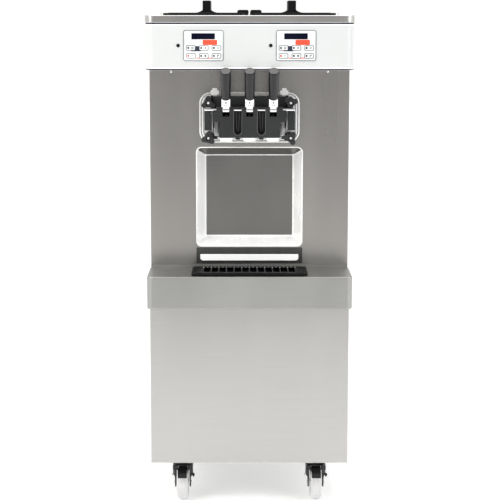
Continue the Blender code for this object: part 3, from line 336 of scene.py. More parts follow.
class Shape:
    """Gathers solids into one mesh, all in the frame's coordinates."""

    def __init__(self):
        self.bm = bmesh.new()

    def take(self, part, matrix=None):
        if matrix is not None:
            bmesh.ops.transform(part, matrix=matrix, verts=part.verts)
        held = bpy.data.meshes.new("held")
        part.to_mesh(held)
        part.free()
        self.bm.from_mesh(held)
        bpy.data.meshes.remove(held)
        return self

    def box(self, one, other, bevel=0.0005, segments=2, matrix=None):
        """A box between any two opposite corners."""
        part = bmesh.new()
        bmesh.ops.create_cube(part, size=1.0)
        size = [abs(b - a) for a, b in zip(one, other)]
        middle = [(a + b) / 2 for a, b in zip(one, other)]
        bmesh.ops.scale(part, vec=size, verts=part.verts)
        bmesh.ops.translate(part, vec=middle, verts=part.verts)
        if bevel:
            bmesh.ops.bevel(part, geom=part.edges[:], offset=bevel, segments=segments, profile=0.5,
                            affect="EDGES")
        return self.take(part, matrix)

    def curve(self, outlines, matrix, **settings):
        """Points to a curve with those settings, then to a mesh."""
        data = bpy.data.curves.new("outline", "CURVE")
        closed = settings.pop("closed", True)
        for key, value in settings.items():
            setattr(data, key, value)
        for outline in outlines:
            spline = data.splines.new("POLY")
            spline.points.add(len(outline) - 1)
            for point, place in zip(spline.points, outline):
                point.co = (*place, 1) if len(place) == 3 else (*place, 0, 1)
            spline.use_cyclic_u = closed
        holder = bpy.data.objects.new("outline", data)
        made = bpy.data.meshes.new_from_object(holder)
        part = bmesh.new()
        part.from_mesh(made)
        bpy.data.objects.remove(holder)
        bpy.data.curves.remove(data)
        bpy.data.meshes.remove(made)
        bmesh.ops.remove_doubles(part, verts=part.verts, dist=1e-6)
        bmesh.ops.recalc_face_normals(part, faces=part.faces)
        return self.take(part, matrix)

    def plate(self, outlines, facing, middle, thick, bevel=0.0005, steps=1, matrix=None):
        """A flat plate. The first outline is its edge, and the rest are holes in it."""
        place = Matrix.Translation(NORMALS[facing] * middle) @ FACINGS[facing]
        if matrix is not None:
            place = matrix @ place
        turned = [outlines[0]] + [outline[::-1] for outline in outlines[1:]]
        return self.curve(turned, place, dimensions="2D", fill_mode="BOTH", extrude=thick / 2 - bevel,
                          bevel_depth=bevel, bevel_resolution=steps, offset=-bevel)

    def tube(self, points, radius, closed=False, steps=3):
        return self.curve([points], None, closed=closed, dimensions="3D", fill_mode="FULL",
                          bevel_depth=radius, bevel_resolution=steps, use_fill_caps=not closed)

    def lathe(self, profile, base, direction=(0, 0, 1), steps=40, turn=0.0):
        """A profile of (radius, height) points turned about direction."""
        part = bmesh.new()
        verts = [part.verts.new((radius, 0, height)) for radius, height in profile]
        edges = [part.edges.new(pair) for pair in zip(verts, verts[1:])]
        bmesh.ops.spin(part, geom=verts + edges, cent=(0, 0, 0), axis=(0, 0, 1), angle=2 * math.pi,
                       steps=steps, use_merge=True)
        bmesh.ops.remove_doubles(part, verts=part.verts, dist=1e-6)
        bmesh.ops.recalc_face_normals(part, faces=part.faces)
        aim = Vector(direction).to_track_quat("Z", "Y").to_matrix().to_4x4()
        return self.take(part, Matrix.Translation(base) @ aim @ Matrix.Rotation(turn, 4, "Z"))

    def loft(self, rings, cap_first=False, cap_last=False):
        """Skins closed rings that have the same number of points."""
        part = bmesh.new()
        rows = [[part.verts.new(point) for point in ring] for ring in rings]
        for one, two in zip(rows, rows[1:]):
            for i in range(len(one)):
                k = (i + 1) % len(one)
                part.faces.new((one[i], one[k], two[k], two[i]))
        if cap_first:
            part.faces.new(rows[0][::-1])
        if cap_last:
            part.faces.new(rows[-1])
        return self.take(part)

    def sunk(self, box, facing, levels, corner, steps=8, shrink=1.0, least=0.0, **caps):
        """Lofts a box's outline through levels of (inset, depth). Its corners shrink with the inset."""
        rings = []
        for inset, depth in levels:
            radius = max(least, corner - inset * shrink)
            rings.append(flat_ring(inside(box, facing, inset, radius, steps), facing, depth))
        return self.loft(rings, **caps)

    def screw(self, place, direction, radius=0.004):
        """A pan-head screw with a socket."""
        r = radius
        head = [(0, 0.12 * r), (0.34 * r, 0.12 * r), (0.36 * r, 0.5 * r), (0.62 * r, 0.46 * r),
                (0.88 * r, 0.26 * r), (r, 0), (0, 0)]
        return self.lathe(head, place, direction, 18)

    def nut(self, place, direction, radius, height):
        """A hexagon nut with a domed end."""
        self.lathe([(0, height), (radius * 0.86, height), (radius, height * 0.84), (radius, 0), (0, 0)],
                   place, direction, 6)
        dome = [(0, height * 1.35), (radius * 0.34, height * 1.28), (radius * 0.46, height), (0, height)]
        return self.lathe(dome, place, direction, 16)

    def done(self, name, finish, body="cabinet", replaced=None, slot=None, angle=34):
        """Makes the piece: it rides on body, has a finish, and may replace a node. Its slot argument is not
        used.
        """
        mesh = bpy.data.meshes.new(name)
        self.bm.to_mesh(mesh)
        self.bm.free()
        mesh.shade_smooth()
        mesh.set_sharp_from_angle(angle=math.radians(angle))
        mesh.materials.append(FINISHES[finish])
        piece = bpy.data.objects.new(name, mesh)
        bpy.context.scene.collection.objects.link(piece)
        normals = piece.modifiers.new("normals", "WEIGHTED_NORMAL")
        normals.keep_sharp = True
        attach(piece, body)
        if replaced:
            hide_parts(replaced)
        return piece


def flat_ring(outline, facing, depth):
    """A 2D outline as 3D points, at a depth along the facing's normal."""
    place = Matrix.Translation(NORMALS[facing] * depth) @ FACINGS[facing]
    return [place @ Vector((u, v, 0)) for u, v in outline]


# ---------------------------------------------------------------- cabinet


def splash_panel():
    """Upper front sheet with the openings for the recess, the cylinders and the leak drawer."""
    low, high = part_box("splash_panel")
    edge = rounded((low.x, low.z), (high.x, high.z), 0.0008, 2)
    recess = inside(RECESS_BOX, "front", 0, RECESS_CORNER)
    mouths = rounded((-MOUTH_HALF, MOUTH_LOW), (MOUTH_HALF, MOUTH_HIGH), 0.004, 3)
    slot = inside(SLOT_BOX, "front", 0, 0.002, 3)
    sheet = Shape().plate([edge, recess, mouths, slot], "front", UPPER + SHEET / 2, SHEET, 0.0003)
    channel_low, channel_high = SLOT_LOW - SHEET / 2, SLOT_HIGH + SHEET / 2
    for z in (channel_low, channel_high):
        sheet.box((-SLOT_HALF, UPPER + SHEET, z - 0.0008), (SLOT_HALF, high.y - SHEET, z + 0.0008), 0)
    for side in SIDES.values():
        x = side * (SLOT_HALF + SHEET / 2)
        sheet.box((x - 0.0008, UPPER + SHEET, channel_low), (x + 0.0008, high.y - SHEET, channel_high), 0)
    sheet.done("splash_sheet", "splash_steel", replaced="splash_panel", slot="brushed_steel")


def recess_frame():
    """Pressed recess: a rolled edge, sloping walls with mitred corners, and a flat back."""
    deep = RECESS_SLOPE
    levels = [(0.0, 0.0), (-0.0012, -0.0007), (0.0006, -0.0013), (0.0022, -0.0004), (0.0042, 0.004),
              (deep - 0.0032, RECESS_DEPTH - 0.006), (deep - 0.0016, RECESS_DEPTH - 0.0022),
              (deep + 0.0006, RECESS_DEPTH - 0.0006), (deep + 0.003, RECESS_DEPTH)]
    shape = Shape().sunk(RECESS_BOX, "front", [(inset, UPPER + depth) for inset, depth in levels],
                         RECESS_CORNER, shrink=0.62, least=0.0035)
    walls = shape.done("recess_walls", "painted_highlight_steel", slot="brushed_steel", angle=50)
    # The walls are near-white steel as a painted highlight, and the top slope takes the darker steel as
    # painted shade
    walls.data.materials.append(FINISHES["painted_shade_steel"])
    for face in walls.data.polygons:
        if abs(face.normal.z) > 0.5 and face.center.z > 1.0 and face.center.y > UPPER + 0.001:
            face.material_index = 1
    # The back of the recess is the darker steel: painted shade.
    back = inside(RECESS_BOX, "front", deep + 0.0026, 0.004)
    panel = Shape().plate([back], "front", UPPER + RECESS_DEPTH + SHEET / 2, SHEET, 0.0003)
    panel.done("recess_back", "painted_shade_steel", slot="brushed_steel")


def lower_front():
    low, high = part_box("lower_front_panel")
    panel = Shape().box(low, high, 0.003, 4)
    panel.done("lower_front_sheet", "brushed_steel", replaced="lower_front_panel")


def drip_shelf():
    """Deep ledge with rounded front corners, a well for the tray and an upstand at its back."""
    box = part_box("drip_shelf")
    low, high = box
    plan = inside(box, "top", 0, (SHELF_CORNER, SHELF_CORNER, 0, 0), 10)
    well = inside(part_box("drip_tray"), "top", (0.01, 0.008), 0.004, 3)
    thick = SHELF_TOP - low.z
    shelf = Shape().plate([plan, well], "top", low.z + thick / 2, thick, 0.0035, 4)
    floor = rounded((low.x + 0.02, low.y + 0.02), (high.x - 0.02, high.y - 0.004), 0.004, 3)
    shelf.plate([floor], "top", low.z + 0.003, 0.002, 0.0004)
    shelf.box((-0.302, high.y - 0.006, SHELF_TOP - 0.002), (0.302, high.y, high.z), 0.0007)
    shelf.done("drip_shelf_shell", "shelf_steel", replaced="drip_shelf", slot="brushed_steel", angle=40)


def header():
    """White fascia with rounded corners, between two thin dark lines."""
    low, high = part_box("header_fascia")
    corners = (CORNER, CORNER, 0, 0)
    plan = rounded((low.x, low.y), (high.x, high.y), corners, 12)
    fascia = Shape().plate([plan], "top", (low.z + high.z) / 2, high.z - low.z, 0.0014, 3)
    fascia.done("header_shell", "header_white", replaced="header_fascia", angle=40)
    out = 0.0004
    grown = rounded((low.x - out, low.y - out), (high.x + out, high.y), corners, 12)
    for name, z, thick in (("upper", high.z - 0.0017, 0.0034), ("lower", low.z + 0.0015, 0.003)):
        line = Shape().plate([grown], "top", z, thick, 0.0002)
        line.done("header_line_" + name, "trim_navy", slot="header_white")
    # Glowing white bands just inside the two dark lines: painted highlights on the fascia's rounded edges.
    edge_highlights = Shape()
    for z, thick in ((high.z - 0.0056, 0.0044), (low.z + 0.0048, 0.0036)):
        edge_highlights.plate([grown], "top", z, thick, 0.0002)
    edge_highlights.done("header_edge_highlights", "food_white", slot="header_white", angle=40)
    under = rounded((-0.298, low.y + 0.012), (0.298, high.y), (0.02, 0.02, 0, 0))
    Shape().plate([under], "top", low.z - 0.0011, 0.0018, 0.0003).done("header_lip", "brushed_steel")
    screws = Shape()
    for side in SIDES.values():
        screws.screw((side * 0.236, UPPER - 0.0002, low.z - 0.011), (0, -1, 0), 0.0045)
    screws.done("splash_screws", "polished_steel")


def top_deck():
    """Steel deck with a deep trim band and two openings for the hoppers."""
    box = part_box("top_deck")
    plan = inside(box, "top", 0, (CORNER, CORNER, 0.004, 0.004), 12)
    holes = [inside(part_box(side + "_hopper"), "top", 0.0075, HOPPER_CORNER) for side in SIDES]
    thick = box[1].z - box[0].z
    deck = Shape().plate([plan, *holes], "top", box[0].z + thick / 2, thick, 0.0026, 4)
    deck.done("top_deck_shell", "trim_steel", replaced="top_deck", slot="brushed_steel", angle=40)


def lid_pins():
    """Small domed pins on the deck, beside the outer edge of each lid."""
    pins = Shape()
    deck_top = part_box("top_deck")[1].z
    for side in SIDES:
        low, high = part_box(side + "_hopper_lid")
        x = low.x - 0.0065 if side == "left" else high.x + 0.0065
        for y in (low.y + 0.014, high.y - 0.014):
            pins.lathe([(0, 0.0085), (0.0016, 0.008), (0.0024, 0.0062), (0.0016, 0.0046), (0.0016, 0.0012),
                        (0.0036, 0.0008), (0.0036, 0), (0, 0)], (x, y, deck_top), steps=20)
    pins.done("lid_pins", "polished_steel")


SLOT_ROWS = [0.23 + 0.03 * i for i in range(10)]


def side_panels():
    """Flat sheets with the cabinet's L outline, hooded cooling slots and edge screws."""
    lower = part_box("lower_front_panel")[1].y
    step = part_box("drip_shelf")[0].z
    start, length, width = 0.12, 0.18, 0.01
    for name, side in SIDES.items():
        low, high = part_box(name + "_side_panel")
        outline = [(lower, low.z), (high.y, low.z), (high.y, high.z), (UPPER + SHEET, high.z),
                   (UPPER + SHEET, step), (lower, step)]
        slots = [rounded((start, z), (start + length, z + width), 0.0049, 5) for z in SLOT_ROWS]
        middle = (low.x + high.x) / 2
        panel = Shape().plate([outline, *slots], "side", middle, high.x - low.x, 0.0004)
        face = side * max(abs(low.x), abs(high.x))
        for z in SLOT_ROWS:
            panel.loft(hood((face, start, z + width), (0, 1, 0), (side, 0, 0), length))
        panel.done(name + "_side_sheet", "side_steel", replaced=name + "_side_panel", slot="brushed_steel")
        screws = Shape()
        places = [(high.y - 0.016, z) for z in (0.18, 0.5, 0.82, 1.14, 1.44)]
        places += [(lower + 0.016, z) for z in (0.18, 0.58)]
        places += [(UPPER + 0.02, z) for z in (0.8, 1.06, 1.32)]
        for y, z in places:
            screws.screw((face, y, z), (side, 0, 0))
        screws.done(name + "_side_screws", "polished_steel")


def hood(start, way, out, length):
    """Rings of a pressed louvre hood that leans out over a slot."""
    start, way, out = Vector(start), Vector(way), Vector(out)
    up = Vector((0, 0, 1))
    section = [(0.0, 0.0035), (0.0022, 0.0026), (0.004, 0.0), (0.0046, -0.004),
               (0.0038, -0.004), (0.0032, -0.0006), (0.0016, 0.0014), (0.0, 0.0022)]
    rings = []
    for along, share in ((0, 0.05), (0.006, 0.75), (0.014, 1), (length - 0.014, 1), (length - 0.006, 0.75),
                         (length, 0.05)):
        rings.append([start + way * along + out * (a * share) + up * b for a, b in section])
    return rings


def rear_panel():
    """Sheet with two columns of hooded louvres, screws, a blank rating plate and the cable gland."""
    low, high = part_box("rear_panel")
    face = REAR
    columns = (-0.17, 0.02)
    rows = [0.36 + 0.04 * i for i in range(8)]
    slots = [rounded((x, z), (x + 0.15, z + 0.012), 0.0059, 5) for x in columns for z in rows]
    edge = rounded((low.x, low.z), (high.x, high.z), 0.001, 2)
    sheet = Shape().plate([edge, *slots], "front", face - SHEET / 2, SHEET, 0.0004)
    for x in columns:
        for z in rows:
            sheet.loft(hood((x, face, z + 0.012), (1, 0, 0), (0, 1, 0), 0.15))
    sheet.done("rear_sheet", "rear_steel", replaced="rear_panel", slot="brushed_steel")
    screws = Shape()
    for x in (-0.284, 0.0, 0.284):
        for z in (0.15, 0.455, 0.76, 1.065, 1.37, 1.455):
            screws.screw((x, face, z), (0, 1, 0))
    screws.done("rear_screws", "polished_steel")
    blank = rounded((-0.24, 0.2), (-0.15, 0.255), 0.003)
    rating = Shape().plate([blank], "front", face + 0.0004, 0.0008, 0.0002)
    rating.done("rating_plate", "polished_steel")
    x, z = 0.19, 0.215
    gland = Shape().nut((x, face, z), (0, 1, 0), 0.016, 0.0105)
    gland.lathe([(0.0045, 0.032), (0.0078, 0.032), (0.0086, 0.03), (0.0096, 0.0265), (0.0092, 0.0255),
                 (0.0104, 0.0215), (0.01, 0.0205), (0.0114, 0.016), (0.0122, 0.0105), (0.0045, 0.0105)],
                (x, face, z), (0, 1, 0))
    gland.done("cable_gland", "pedal_black", slot="caster_black")


# ---------------------------------------------------------------- controls on the header


def icon(shape, kind, x, z, y, size):
    """A small plain printed mark: ring, triangle, bar, three dashes, hexagon, or two bars in an angle."""
    half = size / 2
    if kind == 0:
        marks = [[arc((x, z), half, 0, 345, 23), arc((x, z), half * 0.55, 0, 345, 23)]]
    elif kind == 1:
        marks = [[[(x - half, z - half * 0.4), (x, z + half), (x + half, z - half * 0.4)]]]
    elif kind == 2:
        marks = [[about(x, z, half, half * 0.3, half * 0.25, 3)]]
    elif kind == 3:
        marks = [[about(x + step * half * 0.75, z, half * 0.2, half * 0.3, half * 0.1, 2)]
                 for step in (-1, 0, 1)]
    elif kind == 4:
        marks = [[arc((x, z), half, 30, 390, 6)[:-1]]]
    else:
        marks = [[rounded((x, z + half * 0.2), (x + half * 0.8, z + half), half * 0.2, 3)],
                 [rounded((x - half * 0.8, z - half), (x - half * 0.2, z + half), half * 0.2, 3)]]
    for outlines in marks:
        shape.plate(outlines, "front", y, 0.0002, 0.00004)


# Plain printed patches on a keypad: left, right, bottom and top from its centre, corner radius, steps
PRINTS = {
    "coral": ((-0.002, 0.04, 0.0015, 0.0165, 0.003, 4), (-0.022, 0.025, -0.0375, -0.0352, 0.001, 3)),
    "slate": ((-0.037, -0.006, -0.0165, -0.0015, 0.003, 4),),
}


def keypads():
    """Printed membrane with a display, six framed keys, their lamps and plain colour stripes."""
    for name in SIDES:
        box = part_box(name + "_keypad")
        low, high = box
        x, z = (low.x + high.x) / 2, (low.z + high.z) / 2
        layer = low.y - 0.0002
        edge = inside(box, "front", 0, 0.0065)
        base = Shape().plate([edge], "front", (low.y + high.y) / 2, high.y - low.y, 0.0003)
        base.done(name + "_membrane", "membrane_grey", replaced=name + "_keypad")
        border = [edge, inside(box, "front", 0.0016, 0.005)]
        line = Shape().plate(border, "front", low.y - 0.0001, 0.0004, 0.0001)
        line.done(name + "_membrane_border", "print_grey", slot="membrane_grey")
        glass = rounded((x - 0.0345, z + 0.018), (x + 0.0335, z + 0.0352), 0.001, 3)
        display = Shape().plate([glass], "front", layer, 0.0008, 0.0002)
        display.done(name + "_display", "display_navy", slot="membrane_grey")
        for colour, patches in PRINTS.items():
            print_layer = Shape()
            for left, right, bottom, top, radius, steps in patches:
                patch = rounded((x + left, z + bottom), (x + right, z + top), radius, steps)
                print_layer.plate([patch], "front", layer + 0.0001, 0.0003, 0.00005)
            print_layer.done(name + "_" + colour + "_print", "print_" + colour, slot="membrane_grey")
        keys(name, x, z, layer)


def keys(name, x, z, layer):
    """Two rows of three framed keys, each with a mark and a lamp. One lamp is lit."""
    frames, fields, marks, dark, red = (Shape() for _ in range(5))
    for row, key_z in enumerate((z - 0.007, z - 0.0298)):
        for column, offset in enumerate((-0.0365, 0.001, 0.0378)):
            middle = x + offset
            key = about(middle, key_z, 0.0134, 0.0074, 0.0028, 5)
            hollow = about(middle, key_z, 0.0121, 0.0061, 0.002, 5)
            fields.plate([key], "front", layer - 0.0002, 0.0006, 0.0001)
            frames.plate([key, hollow], "front", layer - 0.0004, 0.0006, 0.0001)
            icon(marks, row * 3 + column, middle + 0.0048, key_z, layer - 0.0006, 0.0066)
            lamp = red if (row, column) == (1, 0) else dark
            lamp.lathe([(0, 0.0003), (0.0026, 0.0002), (0.0029, 0), (0, 0)],
                       (middle - 0.0074, layer - 0.0005, key_z), (0, -1, 0), 18)
    frames.done(name + "_key_frames", "print_slate", slot="membrane_grey")
    fields.done(name + "_key_fields", "membrane_grey")
    marks.done(name + "_key_marks", "print_grey", slot="membrane_grey")
    dark.done(name + "_key_lamps", "indicator_black")
    red.done(name + "_lit_lamp", "lamp_red", slot="indicator_black")


def mix_lamps():
    for name in SIDES:
        low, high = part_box(name + "_mix_lamp")
        centre = ((low.x + high.x) / 2, high.y, (low.z + high.z) / 2)
        lens = [(0, 0.003), (0.0016, 0.0029), (0.003, 0.0022), (0.0034, 0.0012), (0.004, 0.0016),
                (0.005, 0.0012), (0.0052, 0), (0, 0)]
        lamp = Shape().lathe(lens, centre, (0, -1, 0), 32)
        lamp.done(name + "_mix_lens", "indicator_black", replaced=name + "_mix_lamp")


# ---------------------------------------------------------------- hoppers and lids


def hopper_lids():
    """Black lids with a turned-down rim, a tall grip that flares at its foot, and a finger tab."""
    for name, side in SIDES.items():
        node = name + "_hopper_lid"
        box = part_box(node)
        low, high = box
        x, y = (low.x + high.x) / 2, (low.y + high.y) / 2
        under, top = low.z + 0.0024, low.z + 0.0065
        edge = inside(box, "top", 0, 0.026)
        lid = Shape().plate([edge], "top", (under + top) / 2, top - under, 0.0012, 2)
        lid.plate([edge, inside(box, "top", 0.0022, 0.024)], "top", low.z + 0.0016, 0.0032, 0.0004)
        ridge = [inside(box, "top", 0.016, 0.016, 6), inside(box, "top", 0.019, 0.013, 6)]
        lid.plate(ridge, "top", top + 0.0002, 0.0016, 0.0005)
        foot, half = top - 0.0006, 0.0125
        grip = [(0.035, foot), (0.035, foot + 0.0006)]
        grip += [(half + 0.021 * (1 - t / 5) ** 2, foot + 0.001 + 0.0105 * t / 5) for t in range(6)]
        grip += arc((half - 0.003, high.z - 0.003), 0.003, 0, 90, 4)
        lid.plate([mirrored(x, grip)], "front", y, 0.13, 0.002, 2)
        inner = low.x if side > 0 else high.x
        tab_low, tab_high = sorted((inner - side * 0.0008, inner + side * 0.034))
        tab = rounded((tab_low, foot), (tab_high, TAB_TOP), (0, 0, 0.006, 0.006), 5)
        lid.plate([tab], "front", low.y + 0.04, 0.022, 0.001, 2)
        lid.done(name + "_lid_shell", "lid_black", node, node)


def hoppers():
    """Deep-drawn tubs with a rolled lip, and a collar round the feed hole."""
    lip = 0.0085
    inner = lip + SHEET
    for name in SIDES:
        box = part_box(name + "_hopper")
        bottom, top = box[0].z, box[1].z
        levels = [(lip + 0.012, bottom), (lip + 0.004, bottom + 0.001), (lip, bottom + 0.008),
                  (lip, top - 0.004), (lip, top - 0.0018), (0.0005, top - 0.0018), (0.0, top - 0.0008),
                  (0.0006, top), (inner - 0.0022, top), (inner - 0.0006, top - 0.0008),
                  (inner, top - 0.003), (inner, bottom + 0.018), (inner + 0.004, bottom + 0.007),
                  (inner + 0.014, bottom + SHEET)]
        tub = Shape().sunk(box, "top", levels, 0.0285, least=0.012, cap_first=True, cap_last=True)
        tub.done(name + "_hopper_tub", "pan_steel", replaced=name + "_hopper", angle=45)
        feed = ((box[0].x + box[1].x) / 2, FEED_Y, bottom + SHEET)
        ring = [(0.0075, 0.003), (0.0115, 0.003), (0.0135, 0.001), (0.014, 0), (0.0075, 0)]
        Shape().lathe(ring, feed, steps=32).done(name + "_feed_collar", "polished_steel")
        # A black disc where the feed hole goes down: painted shade in place of the hole.
        disc = [(0, 0.0004), (0.0074, 0.0004), (0.0074, 0), (0, 0)]
        Shape().lathe(disc, feed).done(name + "_feed_hole_shade", "indicator_black")


# ---------------------------------------------------------------- dispensing door


def door_plate():
    """Polished flange with a double rolled rim, and the four studs that carry the knobs."""
    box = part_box("door_plate")
    front = box[1].y - PLATE_THICK
    rim = [(0.0, PLATE_THICK), (0.0, 0.0026), (0.001, 0.0006), (0.0026, 0.0), (0.0044, 0.0004),
           (0.0054, 0.0022), (0.0064, 0.0024), (0.0076, 0.0006), (0.0092, 0.0), (0.012, 0.0003),
           (0.014, 0.0016), (0.016, 0.0018)]
    levels = [(inset, front + depth) for inset, depth in rim]
    flange = Shape().sunk(box, "front", levels, PLATE_CORNER, 14, cap_last=True)
    reach = front - box[0].y
    stud = [(0, reach), (0.002, reach - 0.0004), (0.0036, reach - 0.0016), (0.004, reach - 0.003),
            (0.004, 0), (0, 0)]
    for name in KNOB_TURNS:
        centre = pivot(name + "_knob_turn")
        flange.lathe(stud, (centre.x, front, centre.z), (0, -1, 0), 24)
    # The flange is near-white steel as a painted highlight.
    flange.done("door_flange", "painted_highlight_steel", replaced="door_plate", slot="polished_steel", angle=50)
    # Dark steel lines in the valleys of the rolled rim: painted shade.
    groove = Shape()
    for inset in (0.006, 0.0128):
        outline = inside(box, "front", inset, PLATE_CORNER - inset, 14)
        groove.tube(flat_ring(outline, "front", front + 0.0016), 0.0009, closed=True, steps=2)
    groove.done("flange_grooves", "painted_shade_steel", slot="polished_steel")


def door_details():
    """Pivot pin, and the moulded door's groove rims and ridges, side strips, posts and nozzle tabs. The grey
    rims and ridges and the near-white strips and posts are painted highlights.
    """
    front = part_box("door_body")[0].y
    _, pin_y, pin_z = pivot("centre_handle_pull")
    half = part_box("door_pivot_pin")[1].x
    pin = Shape().lathe([(0, half), (0.003, half), (0.004, half - 0.0012), (0.004, 0.0012 - half),
                         (0.003, -half), (0, -half)], (0, pin_y, pin_z), (1, 0, 0), 32)
    pin.done("pivot_pin", "polished_steel", replaced="door_pivot_pin")
    rims, ridges, strips, barrel_highlights, tabs = (Shape() for _ in range(5))
    post = [(0, 0.047), (0.0074, 0.047), (0.0086, 0.0458), (0.0086, 0.0012), (0.0074, 0), (0, 0)]
    for side in SIDES.values():
        x = side * GROOVE_X
        spread = [(x - 0.005, 1.212), (x - 0.003, 1.164), (x, 1.156), (x + 0.003, 1.164),
                  (x + 0.005, 1.212)]
        ridges.tube([(u, front + 0.0125, v) for u, v in spread], 0.0009, steps=2)
        bend = arc((x, GROOVE_FOOT), 0.0122, 180, 360, 14)
        path = [(x - 0.0122, pin_z + 0.005), *bend, (x + 0.0122, pin_z + 0.005)]
        rims.tube([(u, front + 0.0001, v) for u, v in path], 0.0008, steps=2)
        strips.box((side * 0.1102, -0.33, 1.16), (side * 0.1122, -0.264, pin_z - 0.0055))
        barrel_highlights.lathe(post, (side * 0.0992, -0.2635, 1.1376), steps=32)
        tabs.box((x - 0.0062, front + 0.006, 1.1312), (x + 0.0062, front + 0.03, 1.1375), 0.001)
    rims.done("groove_rims", "highlight_rim_grey", slot="door_black")
    ridges.done("groove_ridges", "highlight_rim_grey", slot="door_black")
    strips.done("door_side_strips", "painted_highlight_steel", slot="polished_steel")
    barrel_highlights.done("door_barrel_highlights", "painted_highlight_steel", slot="polished_steel")
    tabs.done("nozzle_tabs", "door_black")


def nozzle_caps():
    profile = [(0.0125, 0), (0.0262, 0), (0.0272, -0.0006), (0.0275, -0.0018), (0.0268, -0.003),
               (0.024, -0.0042), (0.02, -0.0052), (0.0192, -0.007), (0.0188, -0.0116),
               (0.018, -0.0125), (0.0078, -0.0125), (0.007, -0.0118), (0.007, -0.006),
               (0.0125, -0.004), (0.0125, 0)]
    for name in LEVERS:
        low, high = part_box(name + "_nozzle_cap")
        centre = ((low.x + high.x) / 2, (low.y + high.y) / 2, high.z)
        ring = Shape().lathe(profile, centre, steps=48)
        ring.done(name + "_nozzle_ring", "food_white", replaced=name + "_nozzle_cap")


def lobed(centre, turn, hub, reach, lobe, steps=10):
    """Outline of a three-lobed hand nut: lobes joined by concave flanks."""
    points = []
    for i in range(3):
        angle = turn + 120 * i
        a = math.radians(angle)
        tip = (centre[0] + reach * math.cos(a), centre[1] + reach * math.sin(a))
        points += arc(tip, lobe, angle - 78, angle + 78, steps)
        dip = math.radians(angle + 60)
        points.append((centre[0] + hub * math.cos(dip), centre[1] + hub * math.sin(dip)))
    return points


def knobs():
    """Three-lobed hand nuts, each turned as far as it stands when tight, with a bored hub."""
    setback = 0.0042
    for name, turn in KNOB_TURNS.items():
        low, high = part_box(name + "_knob")
        centre = pivot(name + "_knob_turn")
        thick = high.y - low.y
        outline = lobed((centre.x, centre.z), turn, 0.011, 0.014, 0.0078)
        hole = arc((centre.x, centre.z), 0.0086, 0, 345, 23)
        middle = (low.y + high.y + setback) / 2
        knob = Shape().plate([outline, hole], "front", middle, thick - setback, 0.0013, 3)
        hub = [(0.0043, 0), (0.0118, 0), (0.0118, 0.0166), (0.011, thick), (0.0094, thick),
               (0.0086, 0.0172), (0.0085, 0.012), (0.0043, 0.0115), (0.0043, 0)]
        knob.lathe(hub, (centre.x, high.y, centre.z), (0, -1, 0), 32)
        knob.done(name + "_hand_nut", "knob_charcoal", name + "_knob", name + "_knob")


def prime_plugs():
    """White cross-shaped plugs with a round shank."""
    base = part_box("door_body")[1].z + 0.0003
    arm_low, arm_high, half = 1.261, 1.273, 0.0068
    for name in SIDES:
        node = name + "_prime_plug"
        low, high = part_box(node)
        x, y, reach = (low.x + high.x) / 2, (low.y + high.y) / 2, (high.x - low.x) / 2
        cross = [(half, base), (half, arm_low), (reach, arm_low), (reach, arm_high), (half, arm_high),
                 (half, high.z)]
        plug = Shape().plate([mirrored(x, cross)], "front", y, high.y - low.y, 0.0007, 2)
        top = base + 0.002 - low.z
        plug.lathe([(0, top), (0.004, top), (0.004, 0.001), (0.0032, 0), (0, 0)], (x, y, low.z), steps=24)
        plug.done(name + "_plug_cross", "food_white", node, node)


def lever_frame(name):
    """Matrix whose Z runs up the lever from its pivot, and whose -Y faces the front."""
    at = pivot(name + "_handle_pull")
    return Matrix.Translation(at) @ Matrix.Rotation(LEVER_LEAN, 4, "X")


def grips():
    """Turned handles: a bored foot, a long swelling body and a slightly dished tip."""
    length = GRIP_END - GRIP_START
    profile = [(0.0044, 0.0185), (0.0044, 0.0), (0.0128, 0.0), (0.014, 0.0012), (0.0144, 0.004),
               (0.0147, 0.02), (0.0153, 0.042), (0.0158, 0.062), (0.0161, 0.078),
               (0.0162, length - 0.005), (0.016, length - 0.0024), (0.0154, length - 0.0008),
               (0.0144, length), (0.0136, length - 0.0005)]
    tip = [profile[-1], (0.008, length - 0.001), (0, length - 0.0012)]
    for name in LEVERS:
        axis = lever_frame(name)
        start = axis @ Vector((0, 0, GRIP_START))
        way = (axis.to_3x3() @ Vector((0, 0, 1))).normalized()
        body = name + "_handle"
        grip = Shape().lathe(profile, start, way, 56)
        grip.done(name + "_handle_grip", "grip_charcoal", body, name + "_grip", angle=40)
        # The tip is a lighter grey than the grip: a painted highlight where light falls on it from above.
        cap = Shape().lathe(tip, start, way, 56)
        cap.done(name + "_grip_tip_highlight", "grip_tip_highlight", body, slot="grip_charcoal")


def lever_details():
    """A seat, a screw, two small marks and two raised bands on the front of each lever's collar."""
    for name in LEVERS:
        axis = lever_frame(name)
        way = axis.to_3x3() @ Vector((0, -1, 0))
        seat, screw, rings = Shape(), Shape(), Shape()
        seat.lathe([(0, 0.0004), (0.0046, 0.0004), (0.0052, 0.0), (0, 0)],
                   axis @ Vector((0, -0.006, SCREW_UP)), way, 24)
        screw.lathe([(0, 0.001), (0.0022, 0.001), (0.0026, 0.0004), (0, 0.0004)],
                    axis @ Vector((0, -0.0062, SCREW_UP)), way, 4)
        for side in SIDES.values():
            near, far = (side * 0.0012, -0.0066, 0.0205), (side * 0.0046, -0.0058, 0.0222)
            screw.box(near, far, 0.0003, matrix=axis)
        for height in (0.018, 0.0245):
            rings.box((-0.0137, -0.0062, height), (0.0137, 0.0062, height + 0.0009), 0.0003, matrix=axis)
        body = name + "_handle"
        seat.done(name + "_collar_seat", "polished_steel", body)
        screw.done(name + "_collar_screw", "indicator_black", body, slot="polished_steel")
        rings.done(name + "_collar_rings", "polished_steel", body)


# ---------------------------------------------------------------- drip parts


